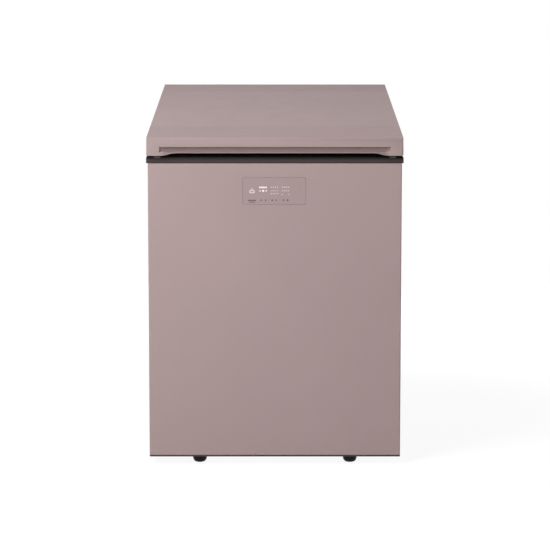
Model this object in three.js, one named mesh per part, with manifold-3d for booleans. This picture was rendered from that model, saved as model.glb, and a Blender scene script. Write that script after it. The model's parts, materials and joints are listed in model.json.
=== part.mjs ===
// A kimchi refrigerator: a chest cabinet whose top slopes down to the front, with one hinged lid.
// Millimetres. +X is the right-hand side seen from the front, +Y the back, +Z up.
// The origin is on the floor, in the middle of the space that the appliance takes up.
import * as THREE from "three";
import { mergeVertices } from "three/addons/utils/BufferGeometryUtils.js";
import Module from "manifold-3d";

const wasm = await Module();
wasm.setup();
const degrees = THREE.MathUtils.degToRad;

// ---------------------------------------------------------------- driving dimensions
// Outer form
const OVERALL_DEPTH = 767; // front edge of the lid to the back of the hinge ears
const BODY_WIDTH = 660; // over the side panels
const FLOOR_GAP = 24; // underside of the cabinet above the floor
const FRONT_PANEL_HEIGHT = 767;
const TOP_SLOPE = degrees(11.6);
const FIT = 0.3; // gap between pieces that seat on each other
const CORNER_STEPS = 4; // straight steps in a quarter-round corner

// Sheet-metal cabinet
const SHEET = 1;
const PANEL_SETBACK = 3; // front panel behind the lid's front edge
const PANEL_FOLD = 12; // depth of the front panel's folded rim
const PANEL_SIDE_RADIUS = 4;
const PANEL_END_RADIUS = 2;
const BACK_FLANGE = 14;
const BACK_PANEL_INSET = 0.2; // outer face of the back panel in front of the lid's back edge
const BASE_SHEET = 1.5;
const BASE_RIM = 20;
const BOTTOM_TRIM_HEIGHT = 3.4;
const BOTTOM_TRIM_DEPTH = 16;

// Display
const DISPLAY_WIDTH = 165;
const DISPLAY_HEIGHT = 71;
const DISPLAY_X = -1.5;
const DISPLAY_DROP = 71.3; // middle of the display below the top of the front panel
const DISPLAY_RADIUS = 5;
const DISPLAY_GAP = 0.3;
const DISPLAY_FLANGE = 5;
const DISPLAY_THICKNESS = 1.6;
const BOARD_MARGIN = 8;
const BOARD_THICKNESS = 1.6;
const BOARD_POST_HEIGHT = 6;
const BOARD_POST_RADIUS = 2.5;

// Collar round the mouth of the cabinet
const COLLAR_OVERHANG = 5; // beyond each side panel
const COLLAR_SETBACK = 12; // collar face behind the lid's front edge
const COLLAR_HEIGHT = 18.6;
const COLLAR_WALL = 3;
const COLLAR_CORNER = 4;
const COLLAR_ROUND = 7; // of its upper edge at the front and sides
const BUMPER_INSET = 24; // middle of a bumper inside the side panel
const BUMPER_WIDTH = 17;
const BUMPER_DEPTH = 12;
const BUMPER_BEHIND = 4; // its face behind the collar's

// Tub, foam and the evaporator wound on the tub
const TUB_SIDE_WALL = 70; // thickness of the insulated walls
const TUB_FRONT_WALL = 80.5;
const TUB_BACK_WALL = 76.3;
const TUB_FLOOR = 400;
const TUB_CORNER = 35;
const TUB_WALL = 2;
const TUB_FLANGE = 18;
const FOAM_UNDER_TUB = 68;
const COIL_RADIUS = 4;
const COIL_TURNS = 6;
const COIL_PITCH = 34;
const COIL_START = 40; // above the floor of the tub
const COIL_TAIL = 14;
const COIL_TAIL_AHEAD = 301.3; // in front of the back panel

// Lid
const LID_GAP = 3.5; // lid skirt above the collar
const LID_HEIGHT = 47;
const HINGE_SPACE = 22; // back edge of the lid to the back of the hinge ears
const LID_OVERHANG = 3.5; // bottom edge beyond each side panel
const LID_FLARE = 0.8; // each side wall leans out by this much over its height
const LID_EDGE_RADIUS = 3.5;
const LID_CORNER = 5;
const LID_WALL = 3;
const LID_SEAM = 0.4;
const FRONT_TRIM_DEPTH = 146;
const REAR_TRIM_DEPTH = 111;
const FRONT_BAR = 32;
const REAR_BAR = 12;
const LID_PANEL_RAISE = 9; // border of the inner panel above the lid's bottom edge
const LID_PANEL_WALL = 2;
const LID_PLUG_DEPTH = 20;
const LID_PLUG_INSET = 14;
const GASKET_OFFSET = 22; // middle of the gasket outside the tub's mouth
const GASKET_WIDTH = 14;
const GASKET_NECK = 8;
const GASKET_NECK_HEIGHT = 4;

// Handle recess in the lid's front
const HANDLE_INSET = 33.5; // each end inside the lid's bottom edge
const HANDLE_BOTTOM = 8.4; // above the lid's bottom edge
const HANDLE_HEIGHT = 14.4;
const HANDLE_DEPTH = 14;
const HANDLE_LIP = 3;
const HANDLE_FILLET = 5; // where the floor of the recess turns up into its back wall
const LIP_RISE = 6.6; // bottom edge of the lid raised under the recess
const LIP_RUN = 47; // length of the S-curve at each end

// Hinges
const HINGE_INSET = 115; // middle of a hinge inside the side panel
const HINGE_EAR_RADIUS = 9.5;
const HINGE_EAR = 3;
const HINGE_WIDTH = 60;
const HINGE_ABOVE_LID_EDGE = 7.6;
const HINGE_PIN_RADIUS = 4;
const HINGE_KNUCKLE_RADIUS = 8;
const HINGE_KNUCKLE_LENGTH = 28;
const HINGE_PLATE = 2.5;
const HINGE_PLATE_HEIGHT = 44;
const HINGE_LEAF_RISE = 32;
const SPRING_WIRE_RADIUS = 1;
const SPRING_TURNS = 5;
const SPRING_PITCH = 3;
const SPRING_TANG = 34;
const BASE_SCREWS = [[-16, 10], [16, 10], [0, 24]]; // from the middle of the plate's lower edge
const LEAF_SCREWS = [[-17, 21], [17, 21]]; // from the pin
const SCREW_HEAD_RADIUS = 4;
const SCREW_HEAD_HEIGHT = 2;

// Feet and rollers
const FOOT_INSET = 131; // inside the side panel
const FOOT_SETBACK = 40;
const FOOT_RADIUS = 18.7;
const FOOT_HEIGHT = 19;
const FOOT_STUD_RADIUS = 5;
const FOOT_STUD_TOP = 62;
const ROLLER_INSET = 98; // inside the side panel
const ROLLER_AHEAD = 61.3; // in front of the back panel
const ROLLER_RADIUS = 10.8;
const ROLLER_WIDTH = 22;
const ROLLER_AXLE_RADIUS = 2.5;
const ROLLER_CHEEK = 2;

// Machine room
const COMPRESSOR_INSET = 165; // inside the left side panel
const COMPRESSOR_AHEAD = 146.3; // in front of the back panel
const COMPRESSOR_RADIUS = 90;
const COMPRESSOR_HEIGHT = 172;
const COMPRESSOR_SHOULDER = 34;
const STUB_ABOVE_SEAM = 20; // pipe stubs of the compressor
const DISCHARGE_REACH = 10;
const DISCHARGE_BEHIND = 30; // behind the compressor's middle
const SUCTION_REACH = 12;
const COMPRESSOR_PLATE = [214, 150]; // mounting plate, across and front to back
const COMPRESSOR_PLATE_THICKNESS = 3;
const COMPRESSOR_HOLES = [88, 58]; // half spacing of the grommets
const GROMMET_HEIGHT = 14;
const GROMMET_RADIUS = 13;
const TERMINAL_SIZE = [46, 66, 62];
const CONDENSER_INSET = 125; // inside the right side panel
const CONDENSER_ROW_GAP = 44;
const CONDENSER_AHEAD = 26.3; // in front of the back panel
const CONDENSER_LENGTH = 175;
const CONDENSER_PASSES = 6;
const CONDENSER_PITCH = 26;
const CONDENSER_LOW_Z = 52;
const CONDENSER_TUBE_RADIUS = 3;
const CONDENSER_FINS = 4;
const FIN_INSET = 18; // from each end of the coil
const FIN_REACH = 14; // beyond the outer rows
const FAN_BESIDE = 97; // fan to the nearest row of the condenser
const FAN_RADIUS = 66;
const FAN_GAP = 5;
const FAN_BLADES = 5;
const FAN_HUB_RADIUS = 15;
const FAN_SHAFT_RADIUS = 3;
const SHROUD_SIZE = 190;
const SHROUD_WALL = 3;
const MOTOR_RADIUS = 22;
const MOTOR_LENGTH = 26;
const MOTOR_BESIDE = 30; // its face to the plane of the fan
const AIR_SLOTS = 8;
const AIR_SLOT_PITCH = 20;
const AIR_SLOT_WIDTH = 8;
const AIR_SLOT_LENGTH = 110;
const AIR_SLOT_AHEAD = 30; // in front of the condenser
const DRIER_RADIUS = 9.5;
const DRIER_LENGTH = 96;
const DRIER_NECK = 8;
const DRIER_LOW = 70;
const CAPILLARY_RADIUS = 1.2;
const CAPILLARY_DROP = 26; // below the drier
const CAPILLARY_ASIDE = 32;
const CAPILLARY_BEND = 9;
const CONTROL_BOX = [128, 150, 52];
const CONTROL_BOX_GAP = 40; // from the back panel, and past the compressor's side
const REAR_COVER_SHEET = 1.5;
const LOUVRE_ROWS = 11;
const LOUVRE_PITCH = 19;
const LOUVRE_SLOT = 6;
const LOUVRE_MARGIN = 80; // of each half of the cover left plain
const LOUVRE_CENTRE = 10; // louvre middle inside the half's own middle
const GLAND_INSET = 42; // inside the right side panel
const GLAND_Z = 64;
const GLAND_RADIUS = 9;
const GLAND_BORE = 4;

// Kimchi containers, two by two on the floor of the tub
const BOX_SIDE_GAP = 7; // rim to the tub's side wall
const BOX_END_GAP = 5.5; // rim to the tub's front and back walls
const BOX_HEIGHT = 192;
const BOX_CORNER = 44;
const BOX_WALL = 2.5;
const BOX_RIM = 2;
const BOX_GAP = 6;
const BOX_LID_HEIGHT = 12;
const BOX_LID_FIELD = 14; // border round the lid's sunk field
const LATCH_WIDTH = 70;
const LATCH_DROP = 18; // below the container's top
const LATCH_WALL = 1.8;

// ---------------------------------------------------------------- places worked out from them
const FRONT_EDGE = -OVERALL_DEPTH / 2;
const HALF_BODY = BODY_WIDTH / 2;
const LID_BACK = OVERALL_DEPTH / 2 - HINGE_SPACE;
const BACK_PLANE = LID_BACK - BACK_PANEL_INSET;
const PANEL_FACE = FRONT_EDGE + PANEL_SETBACK;
const PANEL_TOP = FLOOR_GAP + FRONT_PANEL_HEIGHT;
const DISPLAY_CENTRE_Z = PANEL_TOP - DISPLAY_DROP;
const SIDE_FRONT = PANEL_FACE + PANEL_FOLD + FIT;
const FLANGE_BACK = BACK_PLANE - SHEET - FIT;
const HALF_INSIDE = HALF_BODY - SHEET - FIT;
const FOAM_FLOOR = TUB_FLOOR - TUB_WALL - FOAM_UNDER_TUB;
const HALF_COLLAR = HALF_BODY + COLLAR_OVERHANG;
const HALF_LID = HALF_BODY + LID_OVERHANG;
const HALF_HANDLE = HALF_LID - HANDLE_INSET;
const HALF_TUB = HALF_BODY - TUB_SIDE_WALL;
const TUB_FRONT = PANEL_FACE + TUB_FRONT_WALL;
const TUB_BACK = BACK_PLANE - TUB_BACK_WALL;
const BOX_WIDTH = HALF_TUB - BOX_SIDE_GAP - BOX_GAP / 2 - 2 * BOX_RIM;
const BOX_DEPTH = (TUB_BACK - TUB_FRONT - BOX_GAP) / 2 - BOX_END_GAP - 2 * BOX_RIM;

// Heights over the sloping top are given at the lid's front edge, before lean() tilts them.
const COLLAR_FACE = FRONT_EDGE + COLLAR_SETBACK;
const COLLAR_BACK = BACK_PLANE + FIT + COLLAR_WALL;
const COLLAR_BOTTOM = PANEL_TOP + FIT - COLLAR_SETBACK * Math.tan(TOP_SLOPE);
const COLLAR_TOP = COLLAR_BOTTOM + COLLAR_HEIGHT;
const PANEL_RIM = COLLAR_TOP - COLLAR_WALL - FIT;
const LID_BOTTOM = COLLAR_TOP + LID_GAP;
const LID_TOP = LID_BOTTOM + LID_HEIGHT;
const LID_PANEL_BOTTOM = LID_BOTTOM + LID_PANEL_RAISE;

const HINGE_X = HALF_BODY - HINGE_INSET;
const HINGE_Y = OVERALL_DEPTH / 2 - HINGE_EAR_RADIUS;
const HINGE_Z = LID_BOTTOM + rise(LID_BACK) + HINGE_ABOVE_LID_EDGE;
const BASE_TOP = FLOOR_GAP + BASE_SHEET;
const FOOT_X = HALF_BODY - FOOT_INSET;
const FOOT_Y = FRONT_EDGE + FOOT_SETBACK;
const ROLLER_X = HALF_BODY - ROLLER_INSET;
const ROLLER_Y = BACK_PLANE - ROLLER_AHEAD;
const COIL_START_Z = TUB_FLOOR + COIL_START;
const COIL_TAIL_Y = BACK_PLANE - COIL_TAIL_AHEAD;
const COMPRESSOR_X = -HALF_BODY + COMPRESSOR_INSET;
const COMPRESSOR_Y = BACK_PLANE - COMPRESSOR_AHEAD;
const CONDENSER_X = HALF_BODY - CONDENSER_INSET;
const CONDENSER_BACK = BACK_PLANE - CONDENSER_AHEAD;
const CONDENSER_FRONT = CONDENSER_BACK - CONDENSER_LENGTH;
const FAN_X = CONDENSER_X - FAN_BESIDE;

function rise(y) {
  return (y - FRONT_EDGE) * Math.tan(TOP_SLOPE);
}

// ---------------------------------------------------------------- materials
function material(color, roughness, metalness = 0) {
  return new THREE.MeshStandardMaterial({ color, roughness, metalness });
}
const PINK_STEEL = material(0xae9a99, 0.55, 0.1);
const PINK_PLASTIC = material(0xad9999, 0.6);
const DARK_PLASTIC = material(0x3d3434, 0.5);
const BLACK_PLASTIC = material(0x1d1a19, 0.6);
const BLACK_RUBBER = material(0x191817, 0.9);
const WHITE_PLASTIC = material(0xe4e4e2, 0.5);
const GREY_GASKET = material(0x8f8d8c, 0.85);
const LINER = material(0xc4c6c8, 0.35, 0.8);
const FOAM = material(0xe3d9a8, 0.95);
const ZINC = material(0xa5a8aa, 0.45, 0.85);
const COPPER = material(0xb5714a, 0.35, 0.9);
const BLACK_STEEL = material(0x1f2022, 0.5, 0.6);
const GREEN_BOARD = material(0x2e5a3c, 0.6);
const BOX_PLASTIC = material(0xa9989a, 0.45);
const BOX_LID_PLASTIC = material(0xd9d5d3, 0.45);

// ---------------------------------------------------------------- solids
function solidOf(geometry) {
  const bare = new THREE.BufferGeometry();
  bare.setAttribute("position", geometry.getAttribute("position").clone());
  if (geometry.index) bare.setIndex(geometry.index.clone());
  const merged = mergeVertices(bare, 1e-4);
  return new wasm.Manifold(
    new wasm.Mesh({
      numProp: 3,
      vertProperties: new Float32Array(merged.attributes.position.array),
      triVerts: new Uint32Array(merged.index.array),
    }),
  );
}

function geometryOf(solid) {
  const mesh = solid.getMesh();
  const geometry = new THREE.BufferGeometry();
  geometry.setAttribute("position", new THREE.BufferAttribute(mesh.vertProperties, 3));
  geometry.setIndex(new THREE.BufferAttribute(mesh.triVerts, 1));
  geometry.computeVertexNormals();
  return geometry;
}

function join(first, ...others) {
  return geometryOf(others.reduce((sum, g) => sum.add(solidOf(g)), solidOf(first)));
}

function cut(first, ...others) {
  return geometryOf(others.reduce((rest, g) => rest.subtract(solidOf(g)), solidOf(first)));
}

function common(first, ...others) {
  return geometryOf(others.reduce((rest, g) => rest.intersect(solidOf(g)), solidOf(first)));
}

// Tilts a flat form so that it follows the slope of the top. Upright walls stay upright.
const LEAN = new THREE.Matrix4().set(
  1, 0, 0, 0,
  0, 1, 0, 0,
  0, Math.tan(TOP_SLOPE), 1, rise(0),
  0, 0, 0, 1,
);
function lean(geometry) {
  return geometry.clone().applyMatrix4(LEAN);
}

function box(x0, x1, y0, y1, z0, z1) {
  return new THREE.BoxGeometry(x1 - x0, y1 - y0, z1 - z0)
    .translate((x0 + x1) / 2, (y0 + y1) / 2, (z0 + z1) / 2);
}

// A Shape drawn in X and Y, filled from z0 to z1. An arc takes two steps for each curve segment.
function plate(shape, z0, z1, curveSegments = CORNER_STEPS / 2) {
  return new THREE.ExtrudeGeometry(shape, { depth: z1 - z0, bevelEnabled: false, curveSegments })
    .translate(0, 0, z0);
}

// A Shape drawn in Y and Z (seen from the right-hand side), filled from x0 to x1.
const SIDE_VIEW = new THREE.Matrix4().set(0, 0, 1, 0, 1, 0, 0, 0, 0, 1, 0, 0, 0, 0, 0, 1);
function sideProfile(shape, x0, x1, curveSegments) {
  return plate(shape, x0, x1, curveSegments).applyMatrix4(SIDE_VIEW);
}

// A Shape drawn in X and Z (seen from the front), filled from y0 to y1.
function frontProfile(shape, y0, y1, curveSegments) {
  return plate(shape, -y1, -y0, curveSegments).rotateX(Math.PI / 2);
}

function polygon(points) {
  return new THREE.Shape(points.map(([a, b]) => new THREE.Vector2(a, b)));
}

function roundedRect(a0, a1, b0, b1, radius) {
  const r = Math.min(radius, (a1 - a0) / 2 - 0.01, (b1 - b0) / 2 - 0.01);
  return new THREE.Shape()
    .moveTo(a0 + r, b0)
    .lineTo(a1 - r, b0)
    .absarc(a1 - r, b0 + r, r, -Math.PI / 2, 0)
    .lineTo(a1, b1 - r)
    .absarc(a1 - r, b1 - r, r, 0, Math.PI / 2)
    .lineTo(a0 + r, b1)
    .absarc(a0 + r, b1 - r, r, Math.PI / 2, Math.PI)
    .lineTo(a0, b0 + r)
    .absarc(a0 + r, b0 + r, r, Math.PI, Math.PI * 1.5);
}

const ALONG = {
  x: (g) => g.rotateZ(-Math.PI / 2),
  y: (g) => g,
  z: (g) => g.rotateX(Math.PI / 2),
};
function cylinder(radius, from, to, [a, b], axis, sides = 20) {
  const turned = ALONG[axis](new THREE.CylinderGeometry(radius, radius, to - from, sides));
  const middle = (from + to) / 2;
  if (axis === "x") return turned.translate(middle, a, b);
  if (axis === "y") return turned.translate(a, middle, b);
  return turned.translate(a, b, middle);
}

// A profile of [radius, height] pairs turned about an upright axis at (x, y).
function turned(profile, x, y, sides = 24) {
  return new THREE.LatheGeometry(profile.map(([r, z]) => new THREE.Vector2(r, z)), sides)
    .rotateX(Math.PI / 2)
    .translate(x, y, 0);
}

// A path that stops at each of its own points, so that a swept tube bends only there.
class Route extends THREE.Curve {
  constructor(points) {
    super();
    this.points = points;
  }
  getPoint(t) {
    const last = this.points.length - 1;
    const at = Math.min(Math.floor(t * last + 1e-9), last - 1);
    return this.points[at].clone().lerp(this.points[at + 1], t * last - at);
  }
  getPointAt(u) {
    return this.getPoint(u);
  }
  getTangentAt(u) {
    const at = Math.round(u * (this.points.length - 1));
    const before = this.points[Math.max(at - 1, 0)];
    const after = this.points[Math.min(at + 1, this.points.length - 1)];
    return after.clone().sub(before).normalize();
  }
}

function tube(points, radius, sides = 8) {
  const section = new THREE.Shape().absarc(0, 0, radius, 0, Math.PI * 2);
  return new THREE.ExtrudeGeometry(section, {
    steps: points.length - 1, curveSegments: sides / 2, extrudePath: new Route(points),
  });
}

// The corners of a pipe's run, each replaced by an arc of the bend radius.
function bent(corners, radius, steps = 3) {
  const points = corners.map((c) => new THREE.Vector3(...c));
  const route = [points[0]];
  for (let i = 1; i < points.length - 1; i++) {
    const back = points[i - 1].clone().sub(points[i]);
    const on = points[i + 1].clone().sub(points[i]);
    const r = Math.min(radius, back.length() / 2, on.length() / 2);
    const start = points[i].clone().addScaledVector(back.normalize(), r);
    const end = points[i].clone().addScaledVector(on.normalize(), r);
    const centre = start.clone().add(end).sub(points[i]);
    for (let k = 0; k <= steps; k++) {
      const a = (k / steps) * (Math.PI / 2);
      const point = centre.clone()
        .addScaledVector(start.clone().sub(centre), Math.cos(a))
        .addScaledVector(end.clone().sub(centre), Math.sin(a));
      if (point.distanceTo(route.at(-1)) > 0.01) route.push(point);
    }
  }
  route.push(points.at(-1));
  return route;
}

// ---------------------------------------------------------------- cabinet
// The outside of the folded front panel, drawn in by an inset for the inside of its sheet.
function frontPanelForm(inset) {
  const plan = roundedRect(
    -HALF_BODY + inset, HALF_BODY - inset,
    PANEL_FACE + inset, PANEL_FACE + 3 * PANEL_FOLD, PANEL_SIDE_RADIUS - inset,
  );
  const side = roundedRect(
    PANEL_FACE + inset, PANEL_FACE + 3 * PANEL_FOLD,
    FLOOR_GAP + inset, PANEL_TOP - inset, PANEL_END_RADIUS - inset,
  );
  return common(
    plate(plan, FLOOR_GAP, PANEL_TOP),
    sideProfile(side, -HALF_BODY, HALF_BODY),
    box(-BODY_WIDTH, BODY_WIDTH, PANEL_FACE - 1, PANEL_FACE + PANEL_FOLD + inset, 0, PANEL_TOP),
  );
}

function displayOutline(grow) {
  const halfWidth = DISPLAY_WIDTH / 2 + grow;
  const halfHeight = DISPLAY_HEIGHT / 2 + grow;
  return roundedRect(
    DISPLAY_X - halfWidth, DISPLAY_X + halfWidth,
    DISPLAY_CENTRE_Z - halfHeight, DISPLAY_CENTRE_Z + halfHeight, DISPLAY_RADIUS,
  );
}

function frontPanel() {
  const cutOut = frontProfile(displayOutline(0), PANEL_FACE - 1, PANEL_FACE + PANEL_FOLD);
  return cut(frontPanelForm(0), frontPanelForm(SHEET), cutOut);
}

const DISPLAY_BACK = PANEL_FACE + SHEET + FIT + DISPLAY_THICKNESS;
function displayWindow() {
  return join(
    frontProfile(displayOutline(-DISPLAY_GAP), PANEL_FACE + 0.1, DISPLAY_BACK),
    frontProfile(displayOutline(DISPLAY_FLANGE), PANEL_FACE + SHEET + FIT, DISPLAY_BACK),
  );
}

function displayBoard() {
  const halfWidth = DISPLAY_WIDTH / 2 - BOARD_MARGIN;
  const halfHeight = DISPLAY_HEIGHT / 2 - BOARD_MARGIN;
  const boardY = DISPLAY_BACK + FIT + BOARD_POST_HEIGHT;
  const low = DISPLAY_CENTRE_Z - halfHeight;
  const high = DISPLAY_CENTRE_Z + halfHeight;
  const left = DISPLAY_X - halfWidth;
  const right = DISPLAY_X + halfWidth;
  const pieces = [box(left, right, boardY, boardY + BOARD_THICKNESS, low, high)];
  for (const x of [left + BOARD_MARGIN, right - BOARD_MARGIN])
    for (const z of [low + BOARD_MARGIN, high - BOARD_MARGIN])
      pieces.push(cylinder(BOARD_POST_RADIUS, DISPLAY_BACK + FIT, boardY + 0.1, [x, z], "y", 10));
  return join(...pieces);
}

// What lies above a level of the sloping top.
function above(level) {
  const reach = OVERALL_DEPTH;
  return lean(box(-BODY_WIDTH, BODY_WIDTH, -reach, reach, level, level + 2 * reach));
}

const TALL = PANEL_TOP + OVERALL_DEPTH; // higher than anything; sloping cuts bring it down

function sidePanel() {
  const outline = polygon([
    [HALF_BODY - SHEET, SIDE_FRONT],
    [HALF_BODY, SIDE_FRONT],
    [HALF_BODY, FLANGE_BACK],
    [HALF_BODY - BACK_FLANGE, FLANGE_BACK],
    [HALF_BODY - BACK_FLANGE, FLANGE_BACK - SHEET],
    [HALF_BODY - SHEET, FLANGE_BACK - SHEET],
  ]);
  return cut(plate(outline, FLOOR_GAP, TALL), above(PANEL_RIM));
}

function backPanel() {
  const halfWidth = HALF_BODY - BACK_FLANGE / 4;
  const sheet = box(-halfWidth, halfWidth, BACK_PLANE - SHEET, BACK_PLANE, FOAM_FLOOR, TALL);
  return cut(sheet, above(PANEL_RIM));
}

function basePan() {
  const back = FLANGE_BACK - SHEET - FIT;
  const stud = FOOT_STUD_RADIUS + FIT;
  const tray = cut(
    box(-HALF_INSIDE, HALF_INSIDE, SIDE_FRONT, back, FLOOR_GAP, FLOOR_GAP + BASE_RIM),
    box(
      -HALF_INSIDE + BASE_SHEET, HALF_INSIDE - BASE_SHEET,
      SIDE_FRONT + BASE_SHEET, back - BASE_SHEET, BASE_TOP, FLOOR_GAP + 2 * BASE_RIM,
    ),
  );
  const holes = [-FOOT_X, FOOT_X].map((x) =>
    cylinder(stud, 0, FLOOR_GAP + 2 * BASE_RIM, [x, FOOT_Y], "z"));
  const bosses = [-FOOT_X, FOOT_X].map((x) =>
    cylinder(2 * FOOT_STUD_RADIUS, BASE_TOP - 0.2, BASE_TOP + BASE_RIM / 2, [x, FOOT_Y], "z", 6));
  const airSlots = [];
  const slotBack = CONDENSER_FRONT - AIR_SLOT_AHEAD;
  for (let i = 0; i < AIR_SLOTS; i++) {
    const x = CONDENSER_X + (i - (AIR_SLOTS - 1) / 2) * AIR_SLOT_PITCH;
    airSlots.push(box(
      x, x + AIR_SLOT_WIDTH, slotBack - AIR_SLOT_LENGTH, slotBack, 0, FLOOR_GAP + BASE_RIM,
    ));
  }
  return cut(join(tray, ...bosses), ...holes, ...airSlots);
}

function frontBottomTrim() {
  const outline = roundedRect(
    -HALF_BODY, HALF_BODY, PANEL_FACE, PANEL_FACE + BOTTOM_TRIM_DEPTH, PANEL_SIDE_RADIUS,
  );
  const top = FLOOR_GAP - FIT;
  return plate(outline, top - BOTTOM_TRIM_HEIGHT, top);
}

function tubOutline(grow, corner = TUB_CORNER + grow) {
  return roundedRect(
    -HALF_TUB - grow, HALF_TUB + grow, TUB_FRONT - grow, TUB_BACK + grow, corner,
  );
}

function topCollar() {
  const inset = COLLAR_WALL;
  const round = COLLAR_ROUND;
  const plan = roundedRect(
    -HALF_COLLAR, HALF_COLLAR, COLLAR_FACE, COLLAR_BACK, COLLAR_CORNER,
  );
  const side = new THREE.Shape()
    .moveTo(COLLAR_FACE, COLLAR_BOTTOM)
    .lineTo(COLLAR_BACK, COLLAR_BOTTOM)
    .lineTo(COLLAR_BACK, COLLAR_TOP)
    .lineTo(COLLAR_FACE + round, COLLAR_TOP)
    .absarc(COLLAR_FACE + round, COLLAR_TOP - round, round, Math.PI / 2, Math.PI);
  const across = roundedRect(
    -HALF_COLLAR, HALF_COLLAR, COLLAR_BOTTOM - 2 * round, COLLAR_TOP, round,
  );
  const outer = common(
    plate(plan, COLLAR_BOTTOM, COLLAR_TOP),
    sideProfile(side, -HALF_COLLAR, HALF_COLLAR),
    frontProfile(across, COLLAR_FACE, COLLAR_BACK),
  );
  const inner = roundedRect(
    -HALF_COLLAR + inset, HALF_COLLAR - inset,
    COLLAR_FACE + inset, COLLAR_BACK - inset, COLLAR_CORNER - inset,
  );
  const hingeNotch = HINGE_WIDTH / 2 + FIT;
  const notches = [-HINGE_X, HINGE_X].map((x) =>
    box(x - hingeNotch, x + hingeNotch, BACK_PLANE, COLLAR_BACK + 1, COLLAR_BOTTOM - 1, COLLAR_TOP + 1));
  return lean(cut(
    outer,
    plate(inner, COLLAR_BOTTOM - 1, COLLAR_TOP - COLLAR_WALL),
    plate(tubOutline(0), COLLAR_BOTTOM - 1, COLLAR_TOP + 1),
    ...notches,
  ));
}

function lidBumper(side) {
  const x = side * (HALF_BODY - BUMPER_INSET);
  const outline = roundedRect(
    x - BUMPER_WIDTH / 2, x + BUMPER_WIDTH / 2,
    COLLAR_FACE + BUMPER_BEHIND, COLLAR_FACE + BUMPER_BEHIND + BUMPER_DEPTH, 2,
  );
  return lean(plate(outline, COLLAR_TOP + 0.05, LID_BOTTOM - FIT));
}

function innerTub() {
  const flangeTop = PANEL_RIM;
  const walls = cut(
    plate(tubOutline(TUB_WALL), TUB_FLOOR - TUB_WALL, TALL),
    above(flangeTop),
  );
  const flange = lean(plate(tubOutline(TUB_FLANGE), flangeTop - TUB_WALL, flangeTop));
  return cut(join(walls, flange), plate(tubOutline(0), TUB_FLOOR, TALL));
}

const COIL_OFFSET = TUB_WALL + FIT + COIL_RADIUS;
const COIL_TOP = COIL_START_Z + COIL_TURNS * COIL_PITCH;
const COIL_BEND = TUB_CORNER; // tighter than the tub's own corner, so it clears it
function insulationFoam() {
  const back = FLANGE_BACK - SHEET - FIT;
  const top = PANEL_RIM - TUB_WALL - FIT;
  const outline = roundedRect(
    -HALF_INSIDE, HALF_INSIDE, PANEL_FACE + SHEET + FIT, back, PANEL_SIDE_RADIUS,
  );
  const block = plate(outline, FOAM_FLOOR, TALL);
  const panelFold = box(
    -BODY_WIDTH, BODY_WIDTH, FRONT_EDGE, SIDE_FRONT, PANEL_TOP - SHEET - FIT, TALL,
  );
  const collarFace = box(
    -BODY_WIDTH, BODY_WIDTH, FRONT_EDGE, COLLAR_FACE + COLLAR_WALL + FIT,
    PANEL_TOP - SHEET - FIT, TALL,
  );
  const pocket = plate(tubOutline(TUB_WALL + FIT), TUB_FLOOR - TUB_WALL - FIT, TALL);
  const coilBand = plate(
    tubOutline(COIL_OFFSET + COIL_RADIUS + FIT, COIL_BEND),
    COIL_START_Z - COIL_TAIL - COIL_RADIUS, COIL_TOP + COIL_PITCH / 2,
  );
  const displayPocket = frontProfile(
    displayOutline(DISPLAY_FLANGE + FIT), FRONT_EDGE,
    DISPLAY_BACK + BOARD_POST_HEIGHT + BOARD_THICKNESS + 4 * FIT,
  );
  const suctionHole = cylinder(
    COIL_RADIUS + FIT + 0.4, FOAM_FLOOR - 1, COIL_START_Z,
    [-HALF_TUB - COIL_OFFSET, COIL_TAIL_Y], "z", 12,
  );
  return cut(
    block, above(top), panelFold, collarFace, pocket, coilBand, displayPocket, suctionHole,
  );
}

// One pipe wound round the tub, climbing by the pitch along its back run in each turn.
function evaporatorCoil() {
  const x = HALF_TUB + COIL_OFFSET;
  const front = TUB_FRONT - COIL_OFFSET;
  const back = TUB_BACK + COIL_OFFSET;
  const corners = [
    [-x, COIL_TAIL_Y, COIL_START_Z - COIL_TAIL + FIT],
    [-x, COIL_TAIL_Y, COIL_START_Z],
  ];
  for (let turn = 0; turn < COIL_TURNS; turn++) {
    const z = COIL_START_Z + turn * COIL_PITCH;
    corners.push([-x, back, z], [x, back, z + COIL_PITCH], [x, front, z + COIL_PITCH]);
    corners.push([-x, front, z + COIL_PITCH]);
  }
  corners.push([-x, COIL_TAIL_Y - 2 * TUB_CORNER, COIL_TOP]);
  return tube(bent(corners, COIL_BEND), COIL_RADIUS, 6);
}

// ---------------------------------------------------------------- lid
// The lid's outer form, flat; each inset draws one side of it in.
function lidForm({ sides = 0, front = 0, back = 0, top = 0, bottom = 0 } = {}) {
  const low = LID_BOTTOM + bottom;
  const high = LID_TOP - top;
  const y0 = FRONT_EDGE + front;
  const y1 = LID_BACK - back;
  const r = Math.max(LID_EDGE_RADIUS - Math.max(front, top), 0.5);
  const side = new THREE.Shape()
    .moveTo(y0, low)
    .lineTo(y1, low)
    .lineTo(y1, high)
    .lineTo(y0 + LID_FLARE + r, high)
    .absarc(y0 + LID_FLARE + r, high - r, r, Math.PI / 2, Math.PI)
    .lineTo(y0, low);
  const halfWidth = HALF_LID - sides;
  const across = polygon([
    [-halfWidth, low], [halfWidth, low],
    [halfWidth - LID_FLARE, high], [-halfWidth + LID_FLARE, high],
  ]);
  const plan = roundedRect(-halfWidth, halfWidth, y0, y1 + LID_CORNER, LID_CORNER);
  return common(
    sideProfile(side, -BODY_WIDTH, BODY_WIDTH, CORNER_STEPS),
    frontProfile(across, FRONT_EDGE - 1, LID_BACK + 1),
    plate(plan, low - 1, high + 1),
  );
}

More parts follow.
